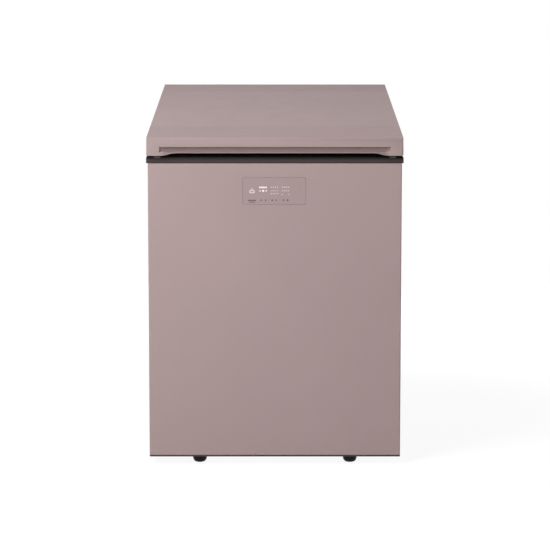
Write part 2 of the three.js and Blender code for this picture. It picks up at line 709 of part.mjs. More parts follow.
const FRONT_SEAM_Y = FRONT_EDGE + FRONT_TRIM_DEPTH;
const REAR_SEAM_Y = LID_BACK - REAR_TRIM_DEPTH;
function lidSlice(geometry, y0, y1) {
  return common(geometry, box(-BODY_WIDTH, BODY_WIDTH, y0, y1, 0, LID_TOP + LID_HEIGHT));
}

function lidTopPanel() {
  const shell = cut(lidForm(), lidForm({ sides: SHEET, top: SHEET, bottom: -LID_HEIGHT }));
  return lean(lidSlice(shell, FRONT_SEAM_Y + LID_SEAM / 2, REAR_SEAM_Y - LID_SEAM / 2));
}

// The hollow that fingers reach into: a grip edge above, and a back wall that curves out to the lip.
function handleScoop() {
  const face = FRONT_EDGE;
  const low = LID_BOTTOM + HANDLE_BOTTOM;
  const high = low + HANDLE_HEIGHT;
  const deep = face + HANDLE_DEPTH;
  const scoop = new THREE.Shape()
    .moveTo(face - 5, low)
    .lineTo(face + HANDLE_LIP, low)
    .quadraticCurveTo(deep - 1, low, deep - 1, low + HANDLE_FILLET)
    .lineTo(deep, high)
    .lineTo(face - 5, high);
  return sideProfile(scoop, -HALF_HANDLE, HALF_HANDLE, 6);
}

// The lid's bottom edge rises under the recess, with an S-curve at each end.
function lipArch() {
  const end = HALF_HANDLE;
  const flat = end - LIP_RUN;
  const low = LID_BOTTOM;
  const high = LID_BOTTOM + LIP_RISE;
  const middle = (end + flat) / 2;
  const arch = new THREE.Shape()
    .moveTo(-end, low - 5)
    .lineTo(end, low - 5)
    .lineTo(end, low)
    .bezierCurveTo(middle, low, middle, high, flat, high)
    .lineTo(-flat, high)
    .bezierCurveTo(-middle, high, -middle, low, -end, low);
  return frontProfile(arch, FRONT_EDGE - 5, FRONT_EDGE + FRONT_BAR + 5, 8);
}

function lidFrontTrim() {
  const hollow = lidForm({
    sides: LID_WALL, front: FRONT_BAR, top: LID_WALL, bottom: -LID_HEIGHT,
  });
  const shell = cut(lidForm(), hollow, handleScoop(), lipArch());
  return lean(lidSlice(shell, FRONT_EDGE - 1, FRONT_SEAM_Y - LID_SEAM / 2));
}

function lidRearTrim() {
  const hollow = lidForm({
    sides: LID_WALL, back: REAR_BAR, top: LID_WALL, bottom: -LID_HEIGHT,
  });
  const shell = cut(lidForm(), hollow);
  return lean(lidSlice(shell, REAR_SEAM_Y + LID_SEAM / 2, LID_BACK + 1));
}

const LID_INSIDE = {
  sides: LID_WALL + LID_FLARE + FIT,
  front: FRONT_BAR + LID_FLARE + FIT,
  back: REAR_BAR + FIT,
  top: LID_WALL + FIT,
};
function lidInsideOutline() {
  const halfWidth = HALF_LID - LID_INSIDE.sides;
  return roundedRect(
    -halfWidth, halfWidth, FRONT_EDGE + LID_INSIDE.front, LID_BACK - LID_INSIDE.back, LID_CORNER,
  );
}

const PLUG_BOTTOM = LID_PANEL_BOTTOM - LID_PLUG_DEPTH;
function lidInnerPanel() {
  const border = plate(lidInsideOutline(), LID_PANEL_BOTTOM, LID_PANEL_BOTTOM + LID_PANEL_WALL);
  const plug = plate(tubOutline(-LID_PLUG_INSET), PLUG_BOTTOM, LID_PANEL_BOTTOM + 1);
  const hollow = plate(
    tubOutline(-LID_PLUG_INSET - LID_PANEL_WALL),
    PLUG_BOTTOM + LID_PANEL_WALL, LID_TOP,
  );
  return lean(cut(join(border, plug), hollow));
}

function lidFoam() {
  const low = LID_PANEL_BOTTOM + LID_PANEL_WALL + FIT;
  const block = plate(lidInsideOutline(), low, LID_TOP - LID_INSIDE.top);
  const plug = plate(
    tubOutline(-LID_PLUG_INSET - LID_PANEL_WALL - FIT),
    PLUG_BOTTOM + LID_PANEL_WALL + FIT, low + 1,
  );
  return lean(join(block, plug));
}

function lidGasket() {
  const ring = (halfWidth, z0, z1) => cut(
    plate(tubOutline(GASKET_OFFSET + halfWidth), z0, z1),
    plate(tubOutline(GASKET_OFFSET - halfWidth), z0 - 1, z1 + 1),
  );
  const neckLow = LID_PANEL_BOTTOM - FIT - GASKET_NECK_HEIGHT;
  return lean(join(
    ring(GASKET_WIDTH / 2, COLLAR_TOP + FIT, neckLow),
    ring(GASKET_NECK / 2, neckLow - 1, LID_PANEL_BOTTOM - FIT),
  ));
}

// ---------------------------------------------------------------- hinges
// Drawn for the right-hand hinge about its own pin; the left one is its mirror image.
const HINGE_HALF = HINGE_WIDTH / 2;
const EAR_INSIDE = HINGE_HALF - HINGE_EAR;
const BASE_FACE = BACK_PLANE + FIT - HINGE_Y; // front of the base plate, from the pin
const LEAF_FACE = LID_BACK + FIT - HINGE_Y; // front of the leaf, from the pin
const BASE_PLATE_TOP = -HINGE_EAR_RADIUS - 1.5;
const LEAF_LOW = -HINGE_ABOVE_LID_EDGE + 0.8;

function screwHeads(positions, y) {
  return positions.map(([x, z]) =>
    cylinder(SCREW_HEAD_RADIUS, y - 0.2, y + SCREW_HEAD_HEIGHT, [x, z], "y", 10));
}

function hingeBase() {
  const bottom = BASE_PLATE_TOP - HINGE_PLATE_HEIGHT;
  const rear = BASE_FACE + HINGE_EAR;
  const sheet = box(-HINGE_HALF, HINGE_HALF, BASE_FACE, rear, bottom, BASE_PLATE_TOP);
  const ear = new THREE.Shape()
    .moveTo(BASE_FACE + 0.1, BASE_PLATE_TOP - HINGE_PLATE_HEIGHT / 2)
    .lineTo(HINGE_EAR_RADIUS * 0.8, -HINGE_EAR_RADIUS * 0.6)
    .lineTo(HINGE_EAR_RADIUS, 0)
    .absarc(0, 0, HINGE_EAR_RADIUS, 0, Math.PI)
    .lineTo(-HINGE_EAR_RADIUS, BASE_PLATE_TOP + 1)
    .lineTo(BASE_FACE + 0.1, BASE_PLATE_TOP);
  const bore = cylinder(HINGE_PIN_RADIUS + FIT, -HINGE_WIDTH, HINGE_WIDTH, [0, 0], "x", 16);
  const heads = screwHeads(BASE_SCREWS.map(([x, up]) => [x, bottom + up]), rear);
  return cut(join(
    sheet,
    sideProfile(ear, EAR_INSIDE, HINGE_HALF),
    sideProfile(ear, -HINGE_HALF, -EAR_INSIDE),
    ...heads,
  ), bore);
}

function hingeLeaf() {
  const half = EAR_INSIDE - 0.5;
  const rear = LEAF_FACE + HINGE_PLATE;
  const knuckleEnd = -half + HINGE_KNUCKLE_LENGTH;
  const sheet = box(-half, half, LEAF_FACE, rear, LEAF_LOW, HINGE_LEAF_RISE);
  const web = box(-half, knuckleEnd, rear - 0.5, 0, -HINGE_KNUCKLE_RADIUS * 0.6, 3);
  const knuckle = cylinder(HINGE_KNUCKLE_RADIUS, -half, knuckleEnd, [0, 0], "x", 20);
  const bore = cylinder(HINGE_PIN_RADIUS + FIT, -HINGE_WIDTH, HINGE_WIDTH, [0, 0], "x", 16);
  const heads = screwHeads(LEAF_SCREWS, rear);
  return cut(join(sheet, web, knuckle, ...heads), bore);
}

function hingePin() {
  const head = HINGE_HALF + FIT;
  return join(
    cylinder(HINGE_PIN_RADIUS, -head - 0.5, head + 0.5, [0, 0], "x", 16),
    cylinder(HINGE_PIN_RADIUS + 2, head, head + 2.5, [0, 0], "x", 16),
    cylinder(HINGE_PIN_RADIUS + 1.5, -head - 1.5, -head, [0, 0], "x", 16),
  );
}

// A torsion spring: one tang lies on the base plate, the other lifts the leaf's lower edge.
function hingeSpring() {
  const r = -(BASE_FACE + HINGE_EAR + FIT + SPRING_WIRE_RADIUS);
  const start = -EAR_INSIDE + HINGE_KNUCKLE_LENGTH + 4;
  const stepsPerTurn = 8;
  const tangAngle = Math.PI; // the coil starts at the front of the pin, going up over it
  const turns = SPRING_TURNS + 0.75; // and ends under the pin, going to the front
  const sweep = turns * Math.PI * 2;
  const steps = turns * stepsPerTurn;
  const points = [new THREE.Vector3(start, -r, BASE_PLATE_TOP - SPRING_TANG)];
  for (let i = 0; i <= steps; i++) {
    const angle = tangAngle - (i / steps) * sweep;
    points.push(new THREE.Vector3(
      start + (i / stepsPerTurn) * SPRING_PITCH, Math.cos(angle) * r, Math.sin(angle) * r,
    ));
  }
  const last = points.at(-1);
  const underLeaf = LEAF_LOW - FIT - SPRING_WIRE_RADIUS;
  points.push(new THREE.Vector3(last.x, LEAF_FACE + HINGE_PLATE, underLeaf));
  points.push(new THREE.Vector3(last.x, LEAF_FACE + 0.5, underLeaf));
  return tube(points, SPRING_WIRE_RADIUS, 6);
}

// ---------------------------------------------------------------- feet and rollers
function levellingFoot(x) {
  const r = FOOT_RADIUS;
  const h = FOOT_HEIGHT;
  return turned([
    [0, 0], [r * 0.45, 0], [r * 0.7, h * 0.08], [r * 0.88, h * 0.26], [r * 0.98, h * 0.55],
    [r, h * 0.9], [r * 0.96, h], [FOOT_STUD_RADIUS, h], [FOOT_STUD_RADIUS, FOOT_STUD_TOP - 1],
    [FOOT_STUD_RADIUS - 1, FOOT_STUD_TOP], [0, FOOT_STUD_TOP],
  ], x, FOOT_Y, 20);
}

const CHEEK_INSIDE = ROLLER_WIDTH / 2 + 0.6;
const ROLLER_REACH = ROLLER_RADIUS + 3;
function rollerBracket(x) {
  const top = FLOOR_GAP - FIT;
  const outside = CHEEK_INSIDE + ROLLER_CHEEK;
  const under = 2 * ROLLER_RADIUS + FIT;
  const cheek = new THREE.Shape()
    .moveTo(ROLLER_Y - ROLLER_REACH, top)
    .lineTo(ROLLER_Y - ROLLER_REACH / 2, ROLLER_RADIUS * 0.6)
    .lineTo(ROLLER_Y + ROLLER_REACH / 2, ROLLER_RADIUS * 0.6)
    .lineTo(ROLLER_Y + ROLLER_REACH, top);
  return cut(
    join(
      sideProfile(cheek, x - outside, x - CHEEK_INSIDE),
      sideProfile(cheek, x + CHEEK_INSIDE, x + outside),
      box(x - outside - 8, x + outside + 8, ROLLER_Y - ROLLER_REACH, ROLLER_Y + ROLLER_REACH, under, top),
    ),
    cylinder(
      ROLLER_AXLE_RADIUS + FIT, x - 2 * outside, x + 2 * outside, [ROLLER_Y, ROLLER_RADIUS], "x", 12,
    ),
  );
}

function rollerWheel(x) {
  const half = ROLLER_WIDTH / 2;
  const r = ROLLER_RADIUS;
  const wheel = turned([
    [ROLLER_AXLE_RADIUS + FIT, -half], [r - 1.2, -half], [r, -half + 1.2],
    [r, half - 1.2], [r - 1.2, half], [ROLLER_AXLE_RADIUS + FIT, half],
    [ROLLER_AXLE_RADIUS + FIT, -half],
  ], 0, 0, 24);
  return wheel.rotateX(Math.PI / 2).rotateZ(Math.PI / 2).translate(x, ROLLER_Y, r);
}

function rollerAxle(x) {
  const outside = CHEEK_INSIDE + ROLLER_CHEEK + FIT;
  const at = [ROLLER_Y, ROLLER_RADIUS];
  return join(
    cylinder(ROLLER_AXLE_RADIUS, x - outside - 0.5, x + outside + 0.5, at, "x", 12),
    cylinder(ROLLER_AXLE_RADIUS + 1.5, x + outside, x + outside + 2, at, "x", 12),
    cylinder(ROLLER_AXLE_RADIUS + 1, x - outside - 1.5, x - outside, at, "x", 12),
  );
}

// ---------------------------------------------------------------- machine room
const COMPRESSOR_BASE = BASE_TOP + GROMMET_HEIGHT;
const SHELL_LOW = COMPRESSOR_BASE + COMPRESSOR_PLATE_THICKNESS;
const SHELL_TOP = SHELL_LOW + COMPRESSOR_HEIGHT;
const SEAM_Z = SHELL_LOW + COMPRESSOR_HEIGHT * 0.55;
const STUB_Z = SEAM_Z + STUB_ABOVE_SEAM;
const DISCHARGE_Y = COMPRESSOR_Y + DISCHARGE_BEHIND;
const GROMMET_BORE = 5.5;
const GROMMETS = [[-1, -1], [1, -1], [-1, 1], [1, 1]].map(([i, j]) => [
  COMPRESSOR_X + i * COMPRESSOR_HOLES[0], COMPRESSOR_Y + j * COMPRESSOR_HOLES[1],
]);

// Two drawn steel cups, the upper one seated in the lower one's welded rim.
function compressorShell(grow) {
  const r = COMPRESSOR_RADIUS;
  return turned([
    [0, COMPRESSOR_BASE + 0.5 - grow], [r * 0.7 + grow, COMPRESSOR_BASE + 0.5 - grow],
    [r * 0.93 + grow, SHELL_LOW + 16], [r * 0.96 + grow, SEAM_Z - 5], [r + grow, SEAM_Z - 5],
    [r + grow, SEAM_Z], [r * 0.94 + grow, SEAM_Z], [r * 0.9 + grow, SHELL_TOP - COMPRESSOR_SHOULDER],
    [r * 0.72 + grow, SHELL_TOP - 10], [r * 0.4, SHELL_TOP - 1 + grow], [0, SHELL_TOP + grow],
  ], COMPRESSOR_X, COMPRESSOR_Y, 24);
}

function compressor() {
  const r = COMPRESSOR_RADIUS;
  const [width, depth] = COMPRESSOR_PLATE;
  const outline = roundedRect(
    COMPRESSOR_X - width / 2, COMPRESSOR_X + width / 2,
    COMPRESSOR_Y - depth / 2, COMPRESSOR_Y + depth / 2, 16,
  );
  const mount = plate(outline, COMPRESSOR_BASE, SHELL_LOW);
  const holes = GROMMETS.map((at) =>
    cylinder(GROMMET_BORE + FIT, COMPRESSOR_BASE - 1, SHELL_LOW + 1, at, "z", 12));
  const suctionStub = cylinder(
    5, COMPRESSOR_Y - r - SUCTION_REACH, COMPRESSOR_Y - r * 0.7, [COMPRESSOR_X, STUB_Z], "y", 10,
  );
  const dischargeStub = cylinder(
    4, COMPRESSOR_X + r * 0.5, COMPRESSOR_X + r + DISCHARGE_REACH, [DISCHARGE_Y, STUB_Z], "x", 10,
  );
  return join(compressorShell(0), cut(mount, ...holes), suctionStub, dischargeStub);
}

function grommet([x, y]) {
  const r = GROMMET_RADIUS;
  const top = COMPRESSOR_BASE;
  return turned([
    [0, BASE_TOP], [r, BASE_TOP], [r, BASE_TOP + 4], [r * 0.78, BASE_TOP + GROMMET_HEIGHT / 2],
    [r, top - 3], [r, top], [GROMMET_BORE, top], [GROMMET_BORE, SHELL_LOW + FIT],
    [GROMMET_BORE + 2, SHELL_LOW + FIT], [GROMMET_BORE - 1, SHELL_LOW + 5], [0, SHELL_LOW + 5],
  ], x, y, 14);
}

function terminalCover() {
  const [width, depth, height] = TERMINAL_SIZE;
  const z = SHELL_LOW + 22;
  const outline = roundedRect(
    COMPRESSOR_X + COMPRESSOR_RADIUS - width * 0.4, COMPRESSOR_X + COMPRESSOR_RADIUS + width * 0.6,
    COMPRESSOR_Y - depth / 2 - 24, COMPRESSOR_Y + depth / 2 - 24, 6,
  );
  return cut(plate(outline, z, z + height), compressorShell(FIT));
}

// Two rows of straight passes joined by return bends, held in upright fins.
function condenserCoil() {
  const y0 = CONDENSER_FRONT;
  const y1 = CONDENSER_BACK;
  const topZ = CONDENSER_LOW_Z + (CONDENSER_PASSES - 1) * CONDENSER_PITCH;
  const rows = [CONDENSER_X, CONDENSER_X + CONDENSER_ROW_GAP];
  const stubX = COMPRESSOR_X + COMPRESSOR_RADIUS + DISCHARGE_REACH + FIT;
  const riserX = stubX + CONDENSER_PITCH;
  const overZ = topZ + CONDENSER_PITCH * 1.5;
  const corners = [
    [stubX, DISCHARGE_Y, STUB_Z], [riserX, DISCHARGE_Y, STUB_Z], [riserX, DISCHARGE_Y, overZ],
    [rows[0], DISCHARGE_Y, overZ], [rows[0], y0 - FIN_REACH, overZ], [rows[0], y0 - FIN_REACH, topZ],
  ];
  const ends = [y1, y0];
  for (let pass = 0; pass < CONDENSER_PASSES; pass++) {
    const z = topZ - pass * CONDENSER_PITCH;
    corners.push([rows[0], ends[pass % 2], z]);
    if (pass < CONDENSER_PASSES - 1) corners.push([rows[0], ends[pass % 2], z - CONDENSER_PITCH]);
  }
  const lastEnd = ends[(CONDENSER_PASSES - 1) % 2];
  const otherEnd = lastEnd === y1 ? y0 : y1;
  corners.push([rows[1], lastEnd, CONDENSER_LOW_Z]);
  for (let pass = 0; pass < CONDENSER_PASSES; pass++) {
    const z = CONDENSER_LOW_Z + pass * CONDENSER_PITCH;
    const end = pass % 2 ? lastEnd : otherEnd;
    corners.push([rows[1], end, z]);
    if (pass < CONDENSER_PASSES - 1) corners.push([rows[1], end, z + CONDENSER_PITCH]);
  }
  corners.push([rows[1] + CONDENSER_PITCH, otherEnd, topZ]);
  corners.push([rows[1] + CONDENSER_PITCH, otherEnd, DRIER_TOP + DRIER_NECK + FIT]);
  const pipe = tube(bent(corners, CONDENSER_PITCH / 2, 2), CONDENSER_TUBE_RADIUS, 6);
  const fins = [];
  for (let i = 0; i < CONDENSER_FINS; i++) {
    const y = y0 + FIN_INSET + (i * (CONDENSER_LENGTH - 2 * FIN_INSET)) / (CONDENSER_FINS - 1);
    const outer = i === 0 || i === CONDENSER_FINS - 1;
    const foot = outer ? BASE_TOP : CONDENSER_LOW_Z - CONDENSER_PITCH / 2;
    fins.push(box(
      rows[0] - FIN_REACH, rows[1] + FIN_REACH, y - 0.6, y + 0.6, foot, topZ + CONDENSER_PITCH / 2,
    ));
  }
  return join(pipe, ...fins);
}

const FAN_Y = (CONDENSER_FRONT + CONDENSER_BACK) / 2;
const FAN_Z = BASE_TOP + SHROUD_SIZE / 2;
const MOTOR_FACE = FAN_X - MOTOR_BESIDE;
const FAN_RING = FAN_RADIUS + FAN_GAP;
function fanShroud() {
  const at = [FAN_Y, FAN_Z];
  const half = SHROUD_SIZE / 2;
  const sheet = sideProfile(
    roundedRect(FAN_Y - half, FAN_Y + half, BASE_TOP, BASE_TOP + SHROUD_SIZE, 10),
    FAN_X - SHROUD_WALL / 2, FAN_X + SHROUD_WALL / 2,
  );
  const ring = cylinder(FAN_RING + SHROUD_WALL, MOTOR_FACE, FAN_X, at, "x", 32);
  const opening = cylinder(FAN_RING, MOTOR_FACE - 1, FAN_X + 10, at, "x", 32);
  const arms = [0, 1, 2].map((i) =>
    box(MOTOR_FACE, MOTOR_FACE + SHROUD_WALL, -5, 5, MOTOR_RADIUS * 0.5, FAN_RING + 1)
      .rotateX((i * Math.PI * 2) / 3).translate(0, ...at));
  const cup = cylinder(MOTOR_RADIUS, MOTOR_FACE, MOTOR_FACE + SHROUD_WALL, at, "x", 20);
  const bore = cylinder(FAN_SHAFT_RADIUS + 2, MOTOR_FACE - 1, FAN_X, at, "x", 12);
  return cut(join(cut(join(sheet, ring), opening), cup, ...arms), bore);
}

const SHAFT_BORE_DEPTH = 14;
function fanMotor() {
  const at = [FAN_Y, FAN_Z];
  const face = MOTOR_FACE - FIT;
  return cut(
    join(
      cylinder(MOTOR_RADIUS, face - MOTOR_LENGTH, face, at, "x", 20),
      cylinder(MOTOR_RADIUS * 0.5, face - MOTOR_LENGTH - 5, face - MOTOR_LENGTH + 1, at, "x", 20),
    ),
    cylinder(FAN_SHAFT_RADIUS + FIT, face - SHAFT_BORE_DEPTH, face + 1, at, "x", 12),
  );
}

// The blades overlap the hub; each is a thin curved sector set at an angle to the airflow.
function fanBlade() {
  const at = [FAN_Y, FAN_Z];
  const hub = cylinder(FAN_HUB_RADIUS, FAN_X - 14, FAN_X + 8, at, "x", 20);
  const shaft = cylinder(
    FAN_SHAFT_RADIUS, MOTOR_FACE - FIT - SHAFT_BORE_DEPTH + 1, FAN_X, at, "x", 12,
  );
  const inner = FAN_HUB_RADIUS - 2;
  const outer = FAN_RADIUS;
  const outline = new THREE.Shape()
    .moveTo(-7, inner)
    .lineTo(7, inner)
    .quadraticCurveTo(17, outer * 0.55, 23, outer * 0.86)
    .quadraticCurveTo(2, outer * 1.02, -19, outer * 0.88)
    .quadraticCurveTo(-14, outer * 0.5, -7, inner);
  const blades = [];
  for (let i = 0; i < FAN_BLADES; i++)
    blades.push(
      plate(outline, -0.9, 0.9)
        .rotateY(degrees(28))
        .rotateX(Math.PI / 2).rotateZ(Math.PI / 2)
        .rotateX((i * Math.PI * 2) / FAN_BLADES)
        .translate(FAN_X - 3, ...at),
    );
  return join(hub, shaft, ...blades);
}

const DRIER_TOP = DRIER_LOW + DRIER_LENGTH;
const DRIER_X = CONDENSER_X + CONDENSER_ROW_GAP + CONDENSER_PITCH;
const DRIER_Y = CONDENSER_PASSES % 2 ? CONDENSER_FRONT : CONDENSER_BACK;
function filterDrier() {
  const r = DRIER_RADIUS;
  const low = DRIER_LOW - CAPILLARY_DROP;
  const aside = DRIER_X + CAPILLARY_ASIDE;
  const body = turned([
    [0, DRIER_LOW - DRIER_NECK], [2, DRIER_LOW - DRIER_NECK], [2.4, DRIER_LOW],
    [r, DRIER_LOW + 8], [r, DRIER_TOP - 8], [CONDENSER_TUBE_RADIUS, DRIER_TOP],
    [CONDENSER_TUBE_RADIUS, DRIER_TOP + DRIER_NECK], [0, DRIER_TOP + DRIER_NECK],
  ], DRIER_X, DRIER_Y, 16);
  const capillary = tube(bent([
    [DRIER_X, DRIER_Y, DRIER_LOW - DRIER_NECK + 2], [DRIER_X, DRIER_Y, low],
    [aside, DRIER_Y, low], [aside, DRIER_Y, FOAM_FLOOR - FIT],
  ], CAPILLARY_BEND), CAPILLARY_RADIUS, 6);
  return join(body, capillary);
}

function suctionLine() {
  const x = -HALF_TUB - COIL_OFFSET;
  return tube(bent([
    [COMPRESSOR_X, COMPRESSOR_Y - COMPRESSOR_RADIUS - SUCTION_REACH - FIT, STUB_Z],
    [COMPRESSOR_X, COIL_TAIL_Y, STUB_Z], [x, COIL_TAIL_Y, STUB_Z],
    [x, COIL_TAIL_Y, COIL_START_Z - COIL_TAIL],
  ], 22), COIL_RADIUS);
}

function controlBox() {
  const [width, depth, height] = CONTROL_BOX;
  const x0 = COMPRESSOR_X + COMPRESSOR_RADIUS + CONTROL_BOX_GAP - width;
  const y1 = FLANGE_BACK - CONTROL_BOX_GAP;
  const top = FOAM_FLOOR - FIT;
  const outline = roundedRect(x0, x0 + width, y1 - depth, y1, 5);
  const cover = roundedRect(x0 - 2, x0 + width + 2, y1 - depth - 2, y1 + 2, 6);
  return join(plate(outline, top - height, top), plate(cover, top - height - 4, top - height + 8));
}

const COVER_LOW = FLOOR_GAP + 4;
const COVER_HIGH = FOAM_FLOOR - 2;
const COVER_FACE = FLANGE_BACK + FIT;
function rearCover() {
  const halfWidth = HALF_BODY - 3;
  const louvreLength = HALF_BODY - LOUVRE_MARGIN;
  const sheet = frontProfile(
    roundedRect(-halfWidth, halfWidth, COVER_LOW, COVER_HIGH, 6),
    COVER_FACE, COVER_FACE + REAR_COVER_SHEET,
  );
  const slots = [];
  const hoods = [];
  const firstZ = (COVER_LOW + COVER_HIGH) / 2 - ((LOUVRE_ROWS - 1) * LOUVRE_PITCH) / 2 + 16;
  const back = COVER_FACE + REAR_COVER_SHEET;
  for (let row = 0; row < LOUVRE_ROWS; row++)
    for (const side of [-1, 1]) {
      const z = firstZ + row * LOUVRE_PITCH;
      const x0 = side * (HALF_BODY / 2 - LOUVRE_CENTRE) - louvreLength / 2;
      slots.push(box(x0, x0 + louvreLength, COVER_FACE - 1, back + 1, z, z + LOUVRE_SLOT));
      const hood = polygon([
        [back - 0.5, z + LOUVRE_SLOT + 2.2], [back - 0.5, z + LOUVRE_SLOT],
        [back + 4, z + 1], [back + 5, z + 1], [back + 5, z + 2],
      ]);
      hoods.push(sideProfile(hood, x0 - 1, x0 + louvreLength + 1));
    }
  const gland = cylinder(
    GLAND_RADIUS - 1.5 + FIT, COVER_FACE - 1, back + 1, [HALF_BODY - GLAND_INSET, GLAND_Z], "y", 16,
  );
  const screws = [-halfWidth + 12, 0, halfWidth - 12].flatMap((x) =>
    screwHeads([[x, COVER_LOW + 10], [x, COVER_HIGH - 10]], back));
  return join(cut(sheet, ...slots, gland), ...hoods, ...screws);
}

function cordGland() {
  const front = COVER_FACE - FIT;
  const back = COVER_FACE + REAR_COVER_SHEET + FIT;
  const r = GLAND_RADIUS;
  const gland = turned([
    [GLAND_BORE, front - 3], [r, front - 3], [r, front], [r - 1.5, front],
    [r - 1.5, back], [r, back], [r * 0.8, back + 6], [GLAND_BORE, back + 6],
    [GLAND_BORE, front - 3],
  ], 0, 0, 16);
  return gland.rotateX(-Math.PI / 2).translate(HALF_BODY - GLAND_INSET, 0, GLAND_Z);
}

// ---------------------------------------------------------------- kimchi containers
const BOX_FLOOR = TUB_FLOOR + FIT;
const BOX_PLACES = {
  front_left: [-1, -1],
  front_right: [1, -1],
  rear_left: [-1, 1],
  rear_right: [1, 1],
};
function boxCentre([i, j]) {
  const outerWidth = BOX_WIDTH + 2 * BOX_RIM;
  const outerDepth = BOX_DEPTH + 2 * BOX_RIM;
  return [
    i * (outerWidth + BOX_GAP) / 2,
    (TUB_FRONT + TUB_BACK) / 2 + j * (outerDepth + BOX_GAP) / 2,
  ];
}

function boxOutline([x, y], grow) {
  return roundedRect(
    x - BOX_WIDTH / 2 - grow, x + BOX_WIDTH / 2 + grow,
    y - BOX_DEPTH / 2 - grow, y + BOX_DEPTH / 2 + grow, BOX_CORNER + grow,
  );
}

function container(at) {
  const top = BOX_FLOOR + BOX_HEIGHT;
  return cut(
    join(
      plate(boxOutline(at, 0), BOX_FLOOR, top),
      plate(boxOutline(at, BOX_RIM), top - 12, top - 8),
    ),
    plate(boxOutline(at, -BOX_WALL), BOX_FLOOR + BOX_WALL, top + 1),
  );
}

// A snap latch seen from the lid's end: it turns down over the edge and ends in a pull lip.
function latch([x, y], side, top) {
  const inside = BOX_DEPTH / 2 + BOX_RIM;
  const low = top - LATCH_DROP;
  const profile = new THREE.Shape()
    .moveTo(inside - 1, top + 6)
    .lineTo(inside - 1, top + 2)
    .lineTo(inside + 0.5, top - 4)
    .lineTo(inside + 0.5, low + 3)
    .lineTo(inside + 1.4, low)
    .lineTo(inside + LATCH_WALL + 0.7, low)
    .lineTo(inside + LATCH_WALL, low + 4)
    .lineTo(inside + LATCH_WALL, top + 3)
    .quadraticCurveTo(inside + LATCH_WALL, top + 6, inside - 1, top + 6);
  return sideProfile(profile, -LATCH_WIDTH / 2, LATCH_WIDTH / 2, 4)
    .rotateZ(side > 0 ? 0 : Math.PI)
    .translate(x, y, 0);
}

// The lid sits over the container's rim, with a shallow sunk field that the next one stacks in.
function containerLid(at) {
  const top = BOX_FLOOR + BOX_HEIGHT;
  const high = top + FIT + BOX_LID_HEIGHT - 4;
  return join(
    cut(
      plate(boxOutline(at, BOX_RIM), top - 7.6, high),
      plate(boxOutline(at, FIT), top - 9, top + FIT),
      plate(boxOutline(at, -BOX_LID_FIELD), high - 4, high + 1),
    ),
    latch(at, -1, top),
    latch(at, 1, top),
  );
}

// ---------------------------------------------------------------- assembly
const refrigerator = new THREE.Group();

function add(name, geometry, finish, parent = refrigerator) {
  geometry.computeVertexNormals();
  const mesh = new THREE.Mesh(geometry, finish);
  mesh.name = name;
  parent.add(mesh);
  return mesh;
}

add("front_panel", frontPanel(), PINK_STEEL);
add("side_panel_right", sidePanel(), PINK_STEEL);
add("side_panel_left", sidePanel(), PINK_STEEL).scale.x = -1;
add("back_panel", backPanel(), ZINC);
add("base_pan", basePan(), ZINC);
add("front_bottom_trim", frontBottomTrim(), DARK_PLASTIC);
add("display_window", displayWindow(), PINK_PLASTIC);
add("display_board", displayBoard(), GREEN_BOARD);
add("top_collar", topCollar(), DARK_PLASTIC);
add("lid_bumper_left", lidBumper(-1), BLACK_RUBBER);
add("lid_bumper_right", lidBumper(1), BLACK_RUBBER);
add("inner_tub", innerTub(), LINER);
add("insulation_foam", insulationFoam(), FOAM);
add("evaporator_coil", evaporatorCoil(), COPPER);

const lid = new THREE.Group();
refrigerator.add(lid);
add("lid_top_panel", lidTopPanel(), PINK_STEEL, lid);
add("lid_front_trim", lidFrontTrim(), PINK_PLASTIC, lid);
add("lid_rear_trim", lidRearTrim(), PINK_PLASTIC, lid);
add("lid_inner_panel", lidInnerPanel(), WHITE_PLASTIC, lid);
add("lid_foam", lidFoam(), FOAM, lid);
add("lid_gasket", lidGasket(), GREY_GASKET, lid);

for (const [name, side] of [["left", -1], ["right", 1]]) {
  const hinge = new THREE.Group();
  hinge.position.set(side * HINGE_X, HINGE_Y, HINGE_Z);
  hinge.scale.x = side;
  refrigerator.add(hinge);
  add(`hinge_base_${name}`, hingeBase(), ZINC, hinge);
  add(`hinge_leaf_${name}`, hingeLeaf(), ZINC, hinge);
  add(`hinge_pin_${name}`, hingePin(), ZINC, hinge);
  add(`hinge_spring_${name}`, hingeSpring(), BLACK_STEEL, hinge);

  add(`levelling_foot_${name}`, levellingFoot(side * FOOT_X), BLACK_PLASTIC);
  add(`roller_bracket_${name}`, rollerBracket(side * ROLLER_X), ZINC);
  add(`roller_wheel_${name}`, rollerWheel(side * ROLLER_X), BLACK_PLASTIC);
  add(`roller_axle_${name}`, rollerAxle(side * ROLLER_X), ZINC);
}

add("compressor", compressor(), BLACK_STEEL);
add("compressor_terminal_cover", terminalCover(), BLACK_PLASTIC);
GROMMETS.forEach((at, i) => add(`compressor_grommet_${i + 1}`, grommet(at), BLACK_RUBBER));
add("condenser_coil", condenserCoil(), BLACK_STEEL);
add("fan_shroud", fanShroud(), BLACK_PLASTIC);
add("fan_motor", fanMotor(), ZINC);
add("fan_blade", fanBlade(), WHITE_PLASTIC);
add("filter_drier", filterDrier(), COPPER);
add("suction_line", suctionLine(), COPPER);
add("control_box", controlBox(), WHITE_PLASTIC);
add("rear_cover", rearCover(), ZINC);
add("cord_gland", cordGland(), BLACK_RUBBER);

for (const [place, cell] of Object.entries(BOX_PLACES)) {
  const at = boxCentre(cell);
  add(`container_${place}`, container(at), BOX_PLASTIC);
  add(`container_lid_${place}`, containerLid(at), BOX_LID_PLASTIC);
}

export default refrigerator;
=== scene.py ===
# A chest kimchi refrigerator in a pale studio. Metres, in the frame's own axes: the front faces -Y.
import json
import math

import bmesh
import bpy
from mathutils import Matrix, Vector


